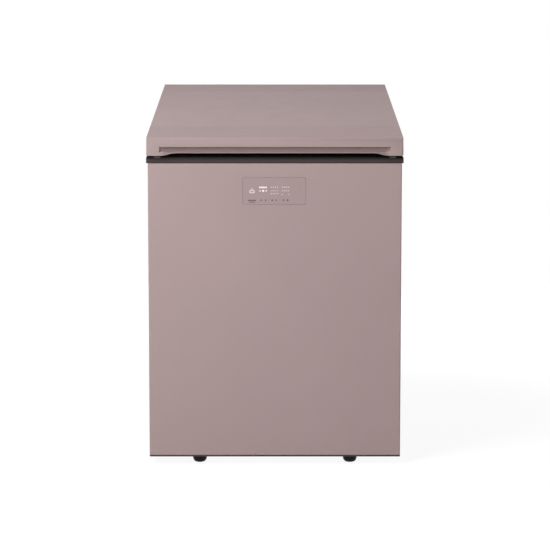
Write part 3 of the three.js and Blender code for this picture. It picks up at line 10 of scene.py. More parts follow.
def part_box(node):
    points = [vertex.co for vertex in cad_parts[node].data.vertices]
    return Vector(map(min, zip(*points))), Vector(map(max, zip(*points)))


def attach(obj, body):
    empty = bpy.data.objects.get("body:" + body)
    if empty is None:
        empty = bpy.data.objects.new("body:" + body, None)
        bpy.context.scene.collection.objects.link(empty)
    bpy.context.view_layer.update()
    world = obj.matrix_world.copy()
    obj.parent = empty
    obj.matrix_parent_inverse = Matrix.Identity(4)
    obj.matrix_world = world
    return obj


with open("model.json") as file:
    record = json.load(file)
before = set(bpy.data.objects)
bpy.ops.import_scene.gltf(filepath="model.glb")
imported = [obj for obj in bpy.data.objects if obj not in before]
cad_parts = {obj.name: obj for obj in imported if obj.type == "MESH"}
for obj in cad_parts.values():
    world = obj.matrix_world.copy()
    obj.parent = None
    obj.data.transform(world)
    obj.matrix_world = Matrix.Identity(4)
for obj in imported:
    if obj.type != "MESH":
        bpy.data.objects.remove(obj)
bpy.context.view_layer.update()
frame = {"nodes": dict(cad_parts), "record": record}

NODES = frame["nodes"]
MM = 0.001


# ---------------------------------------------------------------- camera
PICTURE_PIXELS = 550
FOCAL_PIXELS = 1655
SENSOR_MM = 36
CAMERA_DISTANCE = 4.295  # in front of the lid's front edge
CAMERA_HEIGHT = 0.901
CAMERA_PITCH = math.radians(5.32)
CAMERA_ASIDE = 0.0004


def make_camera():
    data = bpy.data.cameras.new("camera")
    data.sensor_width = SENSOR_MM
    data.lens = FOCAL_PIXELS / PICTURE_PIXELS * SENSOR_MM
    camera = bpy.data.objects.new("camera", data)
    bpy.context.scene.collection.objects.link(camera)
    front_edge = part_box("lid_front_trim")[0].y
    place = Matrix.Translation((CAMERA_ASIDE, front_edge - CAMERA_DISTANCE, CAMERA_HEIGHT))
    camera.matrix_world = place @ Matrix.Rotation(math.pi / 2 - CAMERA_PITCH, 4, "X")
    bpy.context.scene.camera = camera


# ---------------------------------------------------------------- studio
AMBIENT = 0.2
FLOOR_SIZE = 9.0
FLOOR_GLOW_NEAR = 0.9
FLOOR_GLOW_FAR = 1.0
FLOOR_GLOW_REACH = (0.9, 2.6)
FLOOR_SHADED = 0.14  # the part of the seen floor that takes the object's shadow
FLOOR_PALE = 0.8  # the floor that the light bounces from
WHITE = (1, 1, 1, 1)


def grey(value):
    return (value, value, value, 1)


def sees_white(tree):
    """1 for a ray from the camera, a mirror-like surface or glass, and 0 for the rays that carry light."""
    path = tree.nodes.new("ShaderNodeLightPath")
    total = None
    for name in ("Is Camera Ray", "Is Glossy Ray", "Is Transmission Ray"):
        if total is None:
            total = path.outputs[name]
            continue
        both = tree.nodes.new("ShaderNodeMath")
        both.operation = "MAXIMUM"
        tree.links.new(total, both.inputs[0])
        tree.links.new(path.outputs[name], both.inputs[1])
        total = both.outputs[0]
    return total


def make_world():
    world = bpy.data.worlds.new("studio")
    bpy.context.scene.world = world
    world.use_nodes = True
    tree = world.node_tree
    light = tree.nodes["Background"]
    light.inputs["Strength"].default_value = AMBIENT
    light.inputs["Color"].default_value = WHITE
    white = tree.nodes.new("ShaderNodeBackground")
    white.inputs["Color"].default_value = WHITE
    choose = tree.nodes.new("ShaderNodeMixShader")
    tree.links.new(sees_white(tree), choose.inputs["Fac"])
    tree.links.new(light.outputs[0], choose.inputs[1])
    tree.links.new(white.outputs[0], choose.inputs[2])
    tree.links.new(choose.outputs[0], tree.nodes["World Output"].inputs["Surface"])


def smooth_run(tree, source, start, end, first, last):
    """The first value up to the start, the last from the end on, and a smooth run between them.

    The last value is a number or another node's socket.
    """
    run = tree.nodes.new("ShaderNodeMapRange")
    run.interpolation_type = "SMOOTHSTEP"
    tree.links.new(source, run.inputs["Value"])
    for socket, value in (("From Min", start), ("From Max", end), ("To Min", first), ("To Max", last)):
        if isinstance(value, bpy.types.NodeSocket):
            tree.links.new(value, run.inputs[socket])
        else:
            run.inputs[socket].default_value = value
    return run.outputs["Result"]


def floor_material():
    """White to the eye, with the object's shadow, and pale to the light that bounces from it."""
    material = bpy.data.materials.new("floor")
    material.use_nodes = True
    tree = material.node_tree
    tree.nodes.remove(tree.nodes["Principled BSDF"])
    place = tree.nodes.new("ShaderNodeTexCoord")
    distance = tree.nodes.new("ShaderNodeVectorMath")
    distance.operation = "LENGTH"
    tree.links.new(place.outputs["Object"], distance.inputs[0])
    strength = smooth_run(tree, distance.outputs["Value"], *FLOOR_GLOW_REACH, FLOOR_GLOW_NEAR, FLOOR_GLOW_FAR)
    glow = tree.nodes.new("ShaderNodeEmission")
    tree.links.new(strength, glow.inputs["Strength"])
    shaded = tree.nodes.new("ShaderNodeBsdfDiffuse")
    shaded.inputs["Color"].default_value = grey(FLOOR_SHADED)
    seen = tree.nodes.new("ShaderNodeAddShader")
    tree.links.new(glow.outputs[0], seen.inputs[0])
    tree.links.new(shaded.outputs[0], seen.inputs[1])
    pale = tree.nodes.new("ShaderNodeBsdfDiffuse")
    pale.inputs["Color"].default_value = grey(FLOOR_PALE)
    choose = tree.nodes.new("ShaderNodeMixShader")
    tree.links.new(sees_white(tree), choose.inputs["Fac"])
    tree.links.new(pale.outputs[0], choose.inputs[1])
    tree.links.new(seen.outputs[0], choose.inputs[2])
    tree.links.new(choose.outputs[0], tree.nodes["Material Output"].inputs["Surface"])
    return material


def make_floor():
    half = FLOOR_SIZE / 2
    mesh = bpy.data.meshes.new("floor")
    corners = [(-half, -half, 0), (half, -half, 0), (half, half, 0), (-half, half, 0)]
    mesh.from_pydata(corners, [], [(0, 1, 2, 3)])
    mesh.materials.append(floor_material())
    floor = bpy.data.objects.new("floor", mesh)
    bpy.context.scene.collection.objects.link(floor)


def softbox(name, place, aim, size, watts):
    data = bpy.data.lights.new(name, "AREA")
    data.shape = "RECTANGLE"
    data.size, data.size_y = size
    data.energy = watts
    lamp = bpy.data.objects.new(name, data)
    bpy.context.scene.collection.objects.link(lamp)
    lamp.location = place
    lamp.rotation_euler = (Vector(aim) - Vector(place)).to_track_quat("-Z", "Y").to_euler()
    lamp.visible_camera = False
    return lamp


def make_lamps():
    softbox("key", (-1.9, -2.6, 1.9), (0, -0.3, 0.6), (1.4, 1.4), 40)
    softbox("high", (-1.6, -2.2, 3.6), (0, -0.3, 0.6), (1.4, 1.4), 88)
    softbox("fill", (2.4, -3.0, 1.3), (0, 0, 0.5), (2.0, 2.0), 15)
    softbox("back", (1.6, 3.2, 0.9), (0, 0.3, 0.5), (2.0, 2.0), 60)


# ---------------------------------------------------------------- materials
def linear(red, green, blue):
    """The linear colour of display values from 0 to 255."""
    def one(value):
        v = value / 255
        return v / 12.92 if v <= 0.04045 else ((v + 0.055) / 1.055) ** 2.4
    return (one(red), one(green), one(blue))


NOISE_RANGE = (0.3, 0.7)  # where nearly all of a noise node's values lie


class Finish:
    """A Principled material whose colour, roughness and relief come from nodes in object space."""

    def __init__(self, name, metallic=0.0, **sockets):
        self.material = bpy.data.materials.new(name)
        self.material.use_nodes = True
        self.tree = self.material.node_tree
        self.shader = self.tree.nodes["Principled BSDF"]
        self.shader.inputs["Metallic"].default_value = metallic
        for socket, value in sockets.items():
            self.shader.inputs[socket.replace("_", " ")].default_value = value
        self.place = self.tree.nodes.new("ShaderNodeTexCoord").outputs["Object"]
        self.normal = None

    def noise(self, scale, detail, stretch=(1, 1, 1)):
        """Noise in object space, packed closer along an axis that is stretched."""
        mapping = self.tree.nodes.new("ShaderNodeMapping")
        mapping.inputs["Scale"].default_value = stretch
        self.tree.links.new(self.place, mapping.inputs["Vector"])
        noise = self.tree.nodes.new("ShaderNodeTexNoise")
        noise.inputs["Scale"].default_value = scale
        noise.inputs["Detail"].default_value = detail
        self.tree.links.new(mapping.outputs[0], noise.inputs["Vector"])
        return noise.outputs["Fac"]

    def spread(self, source, low, high):
        """The noise spread over the range from low to high."""
        between = self.tree.nodes.new("ShaderNodeMapRange")
        first, last = NOISE_RANGE
        for socket, value in (("From Min", first), ("From Max", last), ("To Min", low), ("To Max", high)):
            between.inputs[socket].default_value = value
        self.tree.links.new(source, between.inputs["Value"])
        return between.outputs["Result"]

    def colour(self, colour, variation, source):
        """The colour, lighter and darker by the variation where the source says."""
        ramp = self.tree.nodes.new("ShaderNodeMix")
        ramp.data_type = "RGBA"
        dark, light = (tuple(c * k for c in colour) + (1,) for k in (1 - variation, 1 + variation))
        ramp.inputs["A"].default_value = dark
        ramp.inputs["B"].default_value = light
        self.tree.links.new(self.spread(source, 0, 1), ramp.inputs["Factor"])
        self.tree.links.new(ramp.outputs["Result"], self.shader.inputs["Base Color"])
        return self

    def distance(self, direction, mirrored=False):
        """How far a place lies along the direction, the same left and right of the middle where mirrored."""
        source = self.place
        if mirrored:
            size = self.tree.nodes.new("ShaderNodeVectorMath")
            size.operation = "ABSOLUTE"
            self.tree.links.new(source, size.inputs[0])
            source = size.outputs["Vector"]
        along = self.tree.nodes.new("ShaderNodeVectorMath")
        along.operation = "DOT_PRODUCT"
        along.inputs[1].default_value = direction
        self.tree.links.new(source, along.inputs[0])
        return along.outputs["Value"]

    def fade(self, distance, start, end, factor):
        """One up to the start and the factor, a number or another fade, from the end on."""
        return smooth_run(self.tree, distance, start, end, 1, factor)

    def shade(self, fade):
        """The colour times the fade: painted light where the fade is above one, painted shade where it is
        below.
        """
        product = self.tree.nodes.new("ShaderNodeMix")
        product.data_type = "RGBA"
        product.blend_type = "MULTIPLY"
        product.inputs["Factor"].default_value = 1
        colour = self.shader.inputs["Base Color"]
        self.tree.links.new(colour.links[0].from_socket, product.inputs["A"])
        self.tree.links.new(fade, product.inputs["B"])
        self.tree.links.new(product.outputs["Result"], colour)
        return self

    def roughness(self, low, high, source):
        """Roughness from low to high where the source says."""
        self.tree.links.new(self.spread(source, low, high), self.shader.inputs["Roughness"])
        return self

    def relief(self, depth, source, strength):
        """Fine relief, laid over any that came before."""
        bump = self.tree.nodes.new("ShaderNodeBump")
        bump.inputs["Strength"].default_value = strength
        bump.inputs["Distance"].default_value = depth
        self.tree.links.new(source, bump.inputs["Height"])
        if self.normal:
            self.tree.links.new(self.normal, bump.inputs["Normal"])
        self.normal = bump.outputs["Normal"]
        self.tree.links.new(self.normal, self.shader.inputs["Normal"])
        return self


PINK = linear(168, 149, 148)
PINK_SHEEN = (1.0, 0.6, 0.58, 1)
STEEL_GLOSS = 0.06
PLASTIC_GLOSS = 0.08
PLASTIC_SHADE = 0.965  # the moulded parts against the painted steel


def pink_steel():
    """Satin paint on sheet steel, with the faint orange peel of a sprayed coat."""
    f = Finish("pink_steel", Specular_IOR_Level=STEEL_GLOSS, Specular_Tint=PINK_SHEEN)
    f.colour(PINK, 0.012, f.noise(3.5, 1))
    f.roughness(0.44, 0.52, f.noise(14, 3))
    return f.relief(0.03 * MM, f.noise(520, 2), 0.12).material


def pink_plastic_finish(name):
    """The same colour in fine-textured moulded plastic."""
    f = Finish(name, Specular_IOR_Level=PLASTIC_GLOSS, Specular_Tint=PINK_SHEEN)
    f.colour(tuple(c * PLASTIC_SHADE for c in PINK), 0.012, f.noise(5, 1))
    f.roughness(0.50, 0.58, f.noise(22, 3))
    return f.relief(0.04 * MM, f.noise(1500, 2), 0.15)


TOP_SLOPE = math.tan(math.radians(11.6))
TOP_NORMAL = (0, -TOP_SLOPE, 1)
# Where each fade of the painted light and shade on the finger recess starts and ends.
RECESS_INSET = 33.5 * MM  # each end inside the lid's side
RECESS_SIDES = (1 * MM, 0)  # past the recess's end
RECESS_CORNERS = (-15 * MM, -2 * MM)
RECESS_MOUTH = (0.4 * MM, 1.6 * MM)  # behind the lid's front
RECESS_TOP = (30 * MM, 26 * MM)  # above the lid's bottom edge
# Painted light inside the recess and at its ends, and painted shade along the foot of the grip.
RECESS_LIGHT = 1.12
CORNER_LIGHT = 1.5
GRIP_SHADE_ENDS = (-1 * MM, -16 * MM)  # past the recess's end
GRIP_SHADE_BAND = (12.5 * MM, 7.5 * MM)  # above the lid's bottom edge
GRIP_SHADE = 0.74


def grip_plastic_painted_light_and_shade():
    """The pink plastic, with painted shade in the foot of the finger recess and painted light inside it and
    at its ends.
    """
    f = pink_plastic_finish("grip_plastic_painted_light_and_shade")
    low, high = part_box("lid_front_trim")
    end = high.x - RECESS_INSET
    edge = low.z - low.y * TOP_SLOPE
    aside = f.distance((1, 0, 0), mirrored=True)
    back = f.distance((0, 1, 0))
    up = f.distance(TOP_NORMAL)

    def fade(distance, origin, span, factor):
        return f.fade(distance, origin + span[0], origin + span[1], factor)

    def inside(light):
        sides = fade(aside, end, RECESS_SIDES, light)
        mouth = fade(back, low.y, RECESS_MOUTH, sides)
        return fade(up, edge, RECESS_TOP, mouth)

    f.shade(inside(RECESS_LIGHT))
    f.shade(inside(fade(aside, end, RECESS_CORNERS, CORNER_LIGHT)))
    between_ends = fade(aside, end, GRIP_SHADE_ENDS, GRIP_SHADE)
    return f.shade(fade(up, edge, GRIP_SHADE_BAND, between_ends)).material


def moulded_finish(name, colour, roughness, variation, specular):
    f = Finish(name, Specular_IOR_Level=specular)
    f.colour(colour, variation, f.noise(18, 3))
    f.roughness(roughness - 0.04, roughness + 0.04, f.noise(30, 3))
    return f.relief(0.04 * MM, f.noise(1200, 2), 0.25)


def moulded(name, colour, roughness, variation, specular=0.45):
    return moulded_finish(name, colour, roughness, variation, specular).material


DARK_PLASTIC = (linear(68, 58, 59), 0.46, 0.04, 0.18)  # colour, roughness, variation, specular
# Painted shade: the collar's colour darkens towards its top edge, for the shadow under the lid.
COLLAR_SHADE_BAND = (12.5 * MM, 4 * MM)  # below the collar's top edge
COLLAR_SHADE = 0.14


def collar_plastic_painted_shade():
    """The same dark plastic, with painted shade running it to black at the collar's upper edge, where the lid
    closes on it and overhangs it.
    """
    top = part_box("top_collar")[1]
    edge = top.z - top.y * TOP_SLOPE
    start, end = (edge - drop for drop in COLLAR_SHADE_BAND)
    f = moulded_finish("collar_plastic_painted_shade", *DARK_PLASTIC)
    return f.shade(f.fade(f.distance(TOP_NORMAL), start, end, COLLAR_SHADE)).material


def rubber(name, colour, roughness=0.75):
    f = Finish(name, Specular_IOR_Level=0.35)
    f.colour(colour, 0.08, f.noise(40, 4))
    f.roughness(roughness - 0.06, roughness + 0.06, f.noise(60, 3))
    return f.relief(0.06 * MM, f.noise(900, 3), 0.4).material


def zinc_steel():
    """Galvanised sheet: large soft spangle with fine rolling lines."""
    f = Finish("zinc_steel", metallic=0.9)
    f.colour((0.50, 0.51, 0.52), 0.09, f.noise(45, 5))
    f.roughness(0.38, 0.52, f.noise(60, 4))
    return f.relief(0.03 * MM, f.noise(240, 2, (1, 1, 9)), 0.3).material


def tub_liner():
    """Brushed aluminium, with the brushing lines running level round the tub."""
    f = Finish("tub_liner", metallic=1.0)
    f.colour((0.66, 0.665, 0.67), 0.05, f.noise(30, 4, (1, 1, 20)))
    f.roughness(0.28, 0.38, f.noise(30, 4, (1, 1, 20)))
    return f.relief(0.02 * MM, f.noise(160, 3, (1, 1, 30)), 0.35).material


def copper():
    f = Finish("copper", metallic=1.0)
    f.colour((0.74, 0.36, 0.22), 0.16, f.noise(90, 4))
    f.roughness(0.25, 0.45, f.noise(120, 4))
    return f.relief(0.03 * MM, f.noise(500, 3), 0.2).material


def black_steel():
    f = Finish("black_steel", Specular_IOR_Level=0.5)
    f.colour((0.016, 0.016, 0.018), 0.15, f.noise(60, 4))
    f.roughness(0.34, 0.48, f.noise(50, 4))
    return f.relief(0.05 * MM, f.noise(500, 2), 0.3).material


def foam():
    f = Finish("foam", Specular_IOR_Level=0.2)
    f.colour((0.76, 0.66, 0.36), 0.12, f.noise(70, 6))
    f.roughness(0.88, 0.96, f.noise(80, 3))
    return f.relief(0.8 * MM, f.noise(260, 5), 0.6).material


def circuit_board():
    f = Finish("circuit_board")
    f.colour((0.02, 0.12, 0.05), 0.25, f.noise(260, 3, (1, 1, 4)))
    f.roughness(0.35, 0.5, f.noise(120, 3))
    return f.relief(0.08 * MM, f.noise(420, 2), 0.5).material


def container_plastic():
    """Slightly cloudy food-grade plastic, tinted to go with the cabinet."""
    f = Finish("container_plastic", Specular_IOR_Level=0.5)
    f.colour(linear(158, 140, 141), 0.03, f.noise(9, 2))
    f.roughness(0.30, 0.38, f.noise(25, 3))
    return f.relief(0.03 * MM, f.noise(700, 2), 0.15).material


def container_lid_plastic():
    f = Finish("container_lid_plastic", Specular_IOR_Level=0.5)
    f.colour(linear(222, 216, 213), 0.02, f.noise(9, 2))
    f.roughness(0.30, 0.38, f.noise(25, 3))
    return f.relief(0.03 * MM, f.noise(700, 2), 0.15).material


def printed(name, colour, glow=0.0):
    """Screen-printed ink on the display; lit marks glow a little."""
    f = Finish(name, Specular_IOR_Level=0.3)
    f.colour(colour, 0.02, f.noise(400, 1))
    f.roughness(0.5, 0.6, f.noise(300, 1))
    f.shader.inputs["Emission Color"].default_value = colour + (1,)
    f.shader.inputs["Emission Strength"].default_value = glow
    return f.material


# The finish of each material slot, and of the parts that have one of their own.
MATERIALS = {
    "pink_steel": pink_steel(),
    "pink_plastic": pink_plastic_finish("pink_plastic").material,
    "dark_plastic": moulded("dark_plastic", *DARK_PLASTIC),
    "black_plastic": moulded("black_plastic", (0.005, 0.0045, 0.004), 0.5, 0.08, 0.15),
    "black_rubber": rubber("black_rubber", (0.012, 0.011, 0.011)),
    "grey_rubber": rubber("grey_rubber", linear(134, 113, 116)),
    "white_plastic": moulded("white_plastic", (0.76, 0.76, 0.75), 0.38, 0.012),
    "gasket": rubber("gasket", linear(46, 40, 40), 0.6),
    "tub_liner": tub_liner(),
    "foam": foam(),
    "zinc_steel": zinc_steel(),
    "copper": copper(),
    "black_steel": black_steel(),
    "circuit_board": circuit_board(),
    "container_plastic": container_plastic(),
    "container_lid_plastic": container_lid_plastic(),
}
# The collar's own finish carries painted shade, and the lid front trim's carries painted light and shade.
OWN_MATERIALS = {"top_collar": collar_plastic_painted_shade(), "lid_front_trim": grip_plastic_painted_light_and_shade()}
INK_BRIGHT = printed("ink_bright", linear(236, 222, 222), 0.16)
INK_SOFT = printed("ink_soft", linear(222, 206, 206), 0.05)
INK_PALE = printed("ink_pale", linear(206, 190, 190), 0.02)
INK_DARK = printed("ink_dark", linear(86, 66, 67))


# ---------------------------------------------------------------- the frame's own parts
SMOOTH_BELOW = math.radians(38)
ROUND_WIRE = ("condenser_coil", "evaporator_coil", "suction_line", "filter_drier",
              "hinge_spring_left", "hinge_spring_right")
SMOOTH_BELOW_WIRE = math.radians(66)
EDGE_RADIUS = {"painted_metal": 0.3 * MM, "brushed_steel": 0.3 * MM, "aluminium": 0.5 * MM,
               "matte_plastic": 0.6 * MM, "gloss_plastic": 0.6 * MM, "rubber": 0.6 * MM}
OTHER_EDGE_RADIUS = 0.4 * MM
EDGE_STEPS = 2
NO_EDGES = ROUND_WIRE + ("insulation_foam", "lid_foam", "display_board", "fan_shroud")
JOIN_WITHIN = 0.02 * MM
FLAT_BELOW = math.radians(0.4)


def fine_surface(name, angle):
    """A node group that joins the facets' corners and shades round stretches smooth."""
    tree = bpy.data.node_groups.new(name, "GeometryNodeTree")
    for way in ("INPUT", "OUTPUT"):
        tree.interface.new_socket("Geometry", in_out=way, socket_type="NodeSocketGeometry")
    made = [tree.nodes.new(kind) for kind in (
        "NodeGroupInput", "GeometryNodeMergeByDistance", "GeometryNodeRemoveAttribute",
        "GeometryNodeSetShadeSmooth", "GeometryNodeSetShadeSmooth", "NodeGroupOutput")]
    merge, drop, smooth, sharp = made[1:-1]
    merge.inputs["Distance"].default_value = JOIN_WITHIN
    drop.inputs["Name"].default_value = "custom_normal"
    smooth.domain = "FACE"
    sharp.domain = "EDGE"
    sharp.inputs["Shade Smooth"].default_value = False
    for before, after in zip(made, made[1:]):
        tree.links.new(before.outputs[0], after.inputs[0])
    bend = tree.nodes.new("GeometryNodeInputMeshEdgeAngle")
    over = tree.nodes.new("FunctionNodeCompare")
    over.data_type = "FLOAT"
    over.operation = "GREATER_THAN"
    over.inputs[1].default_value = angle
    tree.links.new(bend.outputs["Unsigned Angle"], over.inputs[0])
    tree.links.new(over.outputs[0], sharp.inputs["Selection"])
    return tree


def dress_parts():
    """Gives each part its material, its smooth stretches and its rounded edges."""
    classes = {m["slot"]: m["class"] for m in frame["record"]["materials"]}
    slots = {part["node"]: part["material_slot"] for part in frame["record"]["subparts"]}
    by_angle = fine_surface("fine_surface", SMOOTH_BELOW)
    for_wire = fine_surface("fine_surface_wire", SMOOTH_BELOW_WIRE)
    for name, part in NODES.items():
        slot = slots[name]
        part.material_slots[0].material = OWN_MATERIALS.get(name, MATERIALS[slot])
        part.modifiers.new("surface", "NODES").node_group = for_wire if name in ROUND_WIRE else by_angle
        if name in NO_EDGES:
            continue
        flats = part.modifiers.new("flats", "DECIMATE")
        flats.decimate_type = "DISSOLVE"
        flats.angle_limit = FLAT_BELOW
        edges = part.modifiers.new("edges", "BEVEL")
        edges.limit_method = "ANGLE"
        edges.angle_limit = SMOOTH_BELOW
        edges.width = EDGE_RADIUS.get(classes[slot], OTHER_EDGE_RADIUS)
        edges.segments = EDGE_STEPS
        edges.harden_normals = True


# ---------------------------------------------------------------- pieces made here
def piece(name, build, material, body):
    """A new mesh piece: build fills a bmesh in metres, in the frame's axes."""
    bm = bmesh.new()
    build(bm)
    mesh = bpy.data.meshes.new(name)
    bm.to_mesh(mesh)
    bm.free()
    mesh.materials.append(material)
    made = bpy.data.objects.new(name, mesh)
    bpy.context.scene.collection.objects.link(made)
    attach(made, body)
    return made


def prism(bm, outline, front, back):
    """An outline of (x, z) points, filled from the front face to the back."""
    near = [bm.verts.new((x, front, z)) for x, z in outline]
    far = [bm.verts.new((x, back, z)) for x, z in outline]
    bm.faces.new(near)
    bm.faces.new(list(reversed(far)))
    for i in range(len(outline)):
        j = (i + 1) % len(outline)
        bm.faces.new((near[j], near[i], far[i], far[j]))


def ring(bm, outline, bore, front, back):
    """A prism with a hole, the bore, whose outline has as many points as the outer one."""
    loops = [[bm.verts.new((x, y, z)) for x, z in points]
             for points in (outline, bore) for y in (front, back)]
    out_near, out_far, in_near, in_far = loops
    for i in range(len(outline)):
        j = (i + 1) % len(outline)
        bm.faces.new((out_near[i], out_near[j], in_near[j], in_near[i]))
        bm.faces.new((out_far[j], out_far[i], in_far[i], in_far[j]))
        bm.faces.new((out_near[j], out_near[i], out_far[i], out_far[j]))
        bm.faces.new((in_near[i], in_near[j], in_far[j], in_far[i]))


def circle(x, z, radius, sides=16, start=0.0):
    """A regular polygon round a centre, its first corner at the start angle."""
    return [(x + radius * math.cos(start + 2 * math.pi * i / sides),
             z + radius * math.sin(start + 2 * math.pi * i / sides)) for i in range(sides)]


def rounded(x, z, width, height, radius, steps=4):
    """A rounded rectangle round a centre."""
    points = []
    for corner, (sx, sz) in enumerate(((1, 1), (-1, 1), (-1, -1), (1, -1))):
        for step in range(steps + 1):
            angle = math.pi / 2 * (corner + step / steps)
            points.append((x + sx * (width / 2 - radius) + radius * math.cos(angle),
                           z + sz * (height / 2 - radius) + radius * math.sin(angle)))
    return points


def arc(start, end, steps):
    """Angles from the start to the end, both given in degrees."""
    return [math.radians(start + (end - start) * i / steps) for i in range(steps + 1)]


# Display marks, in millimetres from the middle of the display window.
INK_THICKNESS = 0.05  # to each side of the window's face
LOCK_AT = (-57.9, 0.7)
SHACKLE_RISE = 1
SHACKLE_OUTSIDE = (3.7, 5.2)  # half width, height
SHACKLE_INSIDE = (2.3, 3.8)
SHACKLE_STEPS = 10
LOCK_DROP = 2.6
LOCK_BODY = (14.2, 7.6, 2.6)  # width, height, corner radius
LOCK_BORE = (9.8, 3.2, 1.2)
# A row of marks: x and z of its middle, width between the end marks, count, and each mark's size.
LEVEL_ROW = (-29.2, 9.4, 17.4, 6, (3.0, 4.6))
FAINT_ROWS = (
    (0.3, 10.1, 17, 4, (2.6, 3.4)),
    (0.3, 0.8, 16, 5, (2.4, 2.4)),
    (0.3, -6.9, 14.5, 3, (4.6, 2.8)),
    (29.2, 10.1, 15.6, 4, (3.4, 3.2)),
    (29.2, 0.8, 16, 4, (3.0, 3.2)),
    (29.2, -9.1, 16.5, 2, (2.9, 2.9)),
)
LABEL_ROWS = (
    (-57.9, -24.3, 17.5, 6, (2.9, 3.2)),
    (-57.9, -28.9, 12, 5, (2.2, 2.4)),
)
MARK_ROUNDING = 0.3  # corner radius against the mark's smaller side
LIT_AT = (-28.8, 0.5)
LIT_RADIUS = 3.0
CHOICE_ASIDE = 8
CHOICE_RADIUS = 2.3
KEYS_Z = -23.9
# Each key's mark: its x, its number of sides and its turn in degrees.
KEYS = ((-34.2, 3, 90), (-22.5, 3, -90), (-5.1, 16, 0), (5.3, 4, 45), (24.2, 6, 0), (34.7, 16, 0))
KEY_RADIUS = 2.4
ARROW_RADIUS = 3.2
KEY_BORE = 0.9
KEY_DIVIDERS_X = (-14.2, 14.6)
KEY_DIVIDER = (0.5, 2.6, 0.2)  # width, height, corner radius


def mark_row(x, z, width, count, size):
    step = width / (count - 1)
    return [rounded(x - width / 2 + i * step, z, *size, min(size) * MARK_ROUNDING) for i in range(count)]


def display_marks():
    """Generic marks in ink on the display: a lock, lit and faint rows, keys and a label of plain bars."""
    low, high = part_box("display_window")
    centre_x = (low.x + high.x) / 2
    centre_z = (low.z + high.z) / 2
    front, back = (low.y + depth * MM for depth in (-INK_THICKNESS, INK_THICKNESS))

    def placed(outline):
        return [(centre_x + x * MM, centre_z + z * MM) for x, z in outline]

    def ink(name, shapes, material):
        """A shape is an outline, or a pair of an outline and the outline of its hole."""
        def build(bm):
            for shape in shapes:
                if isinstance(shape, tuple):
                    ring(bm, *(placed(outline) for outline in shape), front, back)
                else:
                    prism(bm, placed(shape), front, back)
        return piece(name, build, material, "cabinet")

    x, z = LOCK_AT
    shackle = [(x + aside * math.cos(angle), z + SHACKLE_RISE + height * math.sin(angle))
               for (aside, height), turn in ((SHACKLE_OUTSIDE, (0, 180)), (SHACKLE_INSIDE, (180, 0)))
               for angle in arc(*turn, SHACKLE_STEPS)]
    body = tuple(rounded(x, z - LOCK_DROP, *size) for size in (LOCK_BODY, LOCK_BORE))
    ink("display_lock_mark", [shackle, body], INK_SOFT)
    ink("display_level_marks", mark_row(*LEVEL_ROW), INK_BRIGHT)

    x, z = LIT_AT
    ink("display_lit_mark", [circle(x, z, LIT_RADIUS)], INK_BRIGHT)
    choices = [circle(x + aside, z, CHOICE_RADIUS) for aside in (-CHOICE_ASIDE, CHOICE_ASIDE)]
    ink("display_choice_marks", choices, INK_SOFT)
    faint = [mark for row in FAINT_ROWS for mark in mark_row(*row)]
    ink("display_faint_marks", faint, INK_PALE)

    keys = []
    for x, sides, turn in KEYS:
        radius = ARROW_RADIUS if sides == 3 else KEY_RADIUS
        keys.append(tuple(circle(x, KEYS_Z, r, sides, math.radians(turn)) for r in (radius, KEY_BORE)))
    keys += [rounded(x, KEYS_Z, *KEY_DIVIDER) for x in KEY_DIVIDERS_X]
    keys += [mark for row in LABEL_ROWS for mark in mark_row(*row)]
    ink("display_key_marks", keys, INK_DARK)


# Painted shade of the screws' cross recesses: flat black crosses just proud of each head.
CROSS_REACH = 2.2 * MM
CROSS_HALF_WIDTH = 0.5 * MM
CROSS_RAISE = 0.04 * MM


def cross(x, z):
    """The outline of a cross-head recess."""
    r, w = CROSS_REACH, CROSS_HALF_WIDTH
    quarter = [(r, -w), (r, w), (w, w)]
    turned = []
    for cosine, sine in ((1, 0), (0, 1), (-1, 0), (0, -1)):
        turned += [(x + a * cosine - b * sine, z + a * sine + b * cosine) for a, b in quarter]
    return turned


def painted_cross_shades(name, places, y, body):
    """Flat black crosses on screw heads that face the back at y: painted shade for their cross recesses."""
    def build(bm):
        for x, z in places:
            prism(bm, list(reversed(cross(x, z))), y + CROSS_RAISE, y - CROSS_RAISE)
    return piece(name, build, MATERIALS["black_steel"], body)


# Places of the screw heads from the edges of the piece that they hold.
HEAD_HEIGHT = 2 * MM
COVER_SCREW_INSET = (12 * MM, 10 * MM)
COVER_LOUVRE_DEPTH = 5 * MM
HINGE_SCREWS = ((-16 * MM, 10 * MM), (16 * MM, 10 * MM), (0, 24 * MM))
HINGE_BASE_SHEET = 3 * MM
LEAF_SCREWS = ((-17 * MM, -11 * MM), (17 * MM, -11 * MM))
LEAF_SHEET = 2.5 * MM


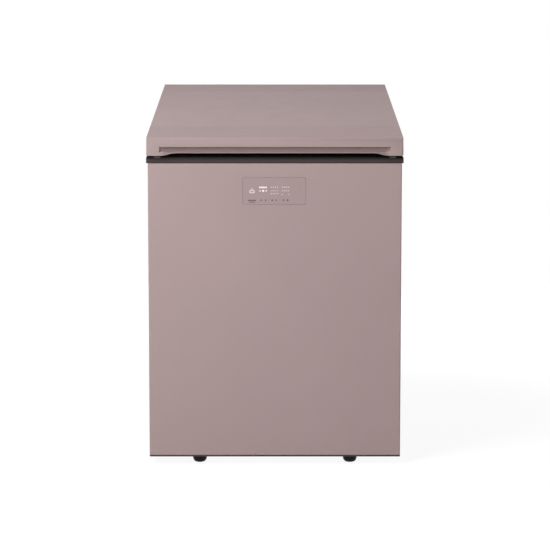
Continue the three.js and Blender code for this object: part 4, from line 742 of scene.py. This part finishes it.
def every_screw_shade_cross():
    low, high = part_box("rear_cover")
    aside, inset = COVER_SCREW_INSET
    places = [(x, z) for x in (low.x + aside, (low.x + high.x) / 2, high.x - aside)
              for z in (low.z + inset, high.z - inset)]
    painted_cross_shades("cover_screw_shade_crosses", places, high.y - COVER_LOUVRE_DEPTH + HEAD_HEIGHT, "cabinet")
    for side in ("left", "right"):
        low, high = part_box("hinge_base_" + side)
        middle = (low.x + high.x) / 2
        places = [(middle + x, low.z + z) for x, z in HINGE_SCREWS]
        face = low.y + HINGE_BASE_SHEET + HEAD_HEIGHT
        painted_cross_shades("hinge_base_screw_shade_crosses_" + side, places, face, "cabinet")
        low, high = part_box("hinge_leaf_" + side)
        places = [(middle + x, high.z + z) for x, z in LEAF_SCREWS]
        face = low.y + LEAF_SHEET + HEAD_HEIGHT
        painted_cross_shades("hinge_leaf_screw_shade_crosses_" + side, places, face, "lid")


# Under each bumper a tab lies on the collar's rounded front edge.
COLLAR_ROUND = 7 * MM
TAB_THICKNESS = 0.5 * MM
TAB_SPAN = (2.0 * MM, 4.6 * MM)  # below the collar's top edge
TAB_SIDE_MARGIN = 0.1 * MM
TAB_STEPS = 6


def bumper_tab(side):
    """A thin tab as wide as the bumper, curved with the collar's edge."""
    low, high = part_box("lid_bumper_" + side)
    collar_low, collar_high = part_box("top_collar")

    def surface(angle, proud):
        """A point (y, z) on the rounded edge, at the angle from straight up, lying proud of it."""
        radius = COLLAR_ROUND + proud
        y = collar_low.y + COLLAR_ROUND - radius * math.sin(angle)
        flat = collar_high.z - (collar_high.y - y) * TOP_SLOPE
        return y, flat - COLLAR_ROUND + radius * math.cos(angle)

    first, last = (math.acos(1 - drop / COLLAR_ROUND) for drop in TAB_SPAN)
    angles = [first + (last - first) * i / TAB_STEPS for i in range(TAB_STEPS + 1)]
    outline = [surface(angle, TAB_THICKNESS) for angle in angles]
    outline += [surface(angle, -TAB_THICKNESS / 2) for angle in reversed(angles)]

    def build(bm):
        left = [bm.verts.new((low.x + TAB_SIDE_MARGIN, y, z)) for y, z in outline]
        right = [bm.verts.new((high.x - TAB_SIDE_MARGIN, y, z)) for y, z in outline]
        bm.faces.new(left)
        bm.faces.new(list(reversed(right)))
        for i in range(len(outline)):
            j = (i + 1) % len(outline)
            bm.faces.new((left[j], left[i], right[i], right[j]))
        bmesh.ops.recalc_face_normals(bm, faces=bm.faces)
    return piece("lid_bumper_tab_" + side, build, MATERIALS["grey_rubber"], "cabinet")


make_camera()
make_world()
make_floor()
make_lamps()
bpy.context.scene.view_settings.view_transform = "Standard"
dress_parts()
display_marks()
every_screw_shade_cross()
for side in ("left", "right"):
    bumper_tab(side)
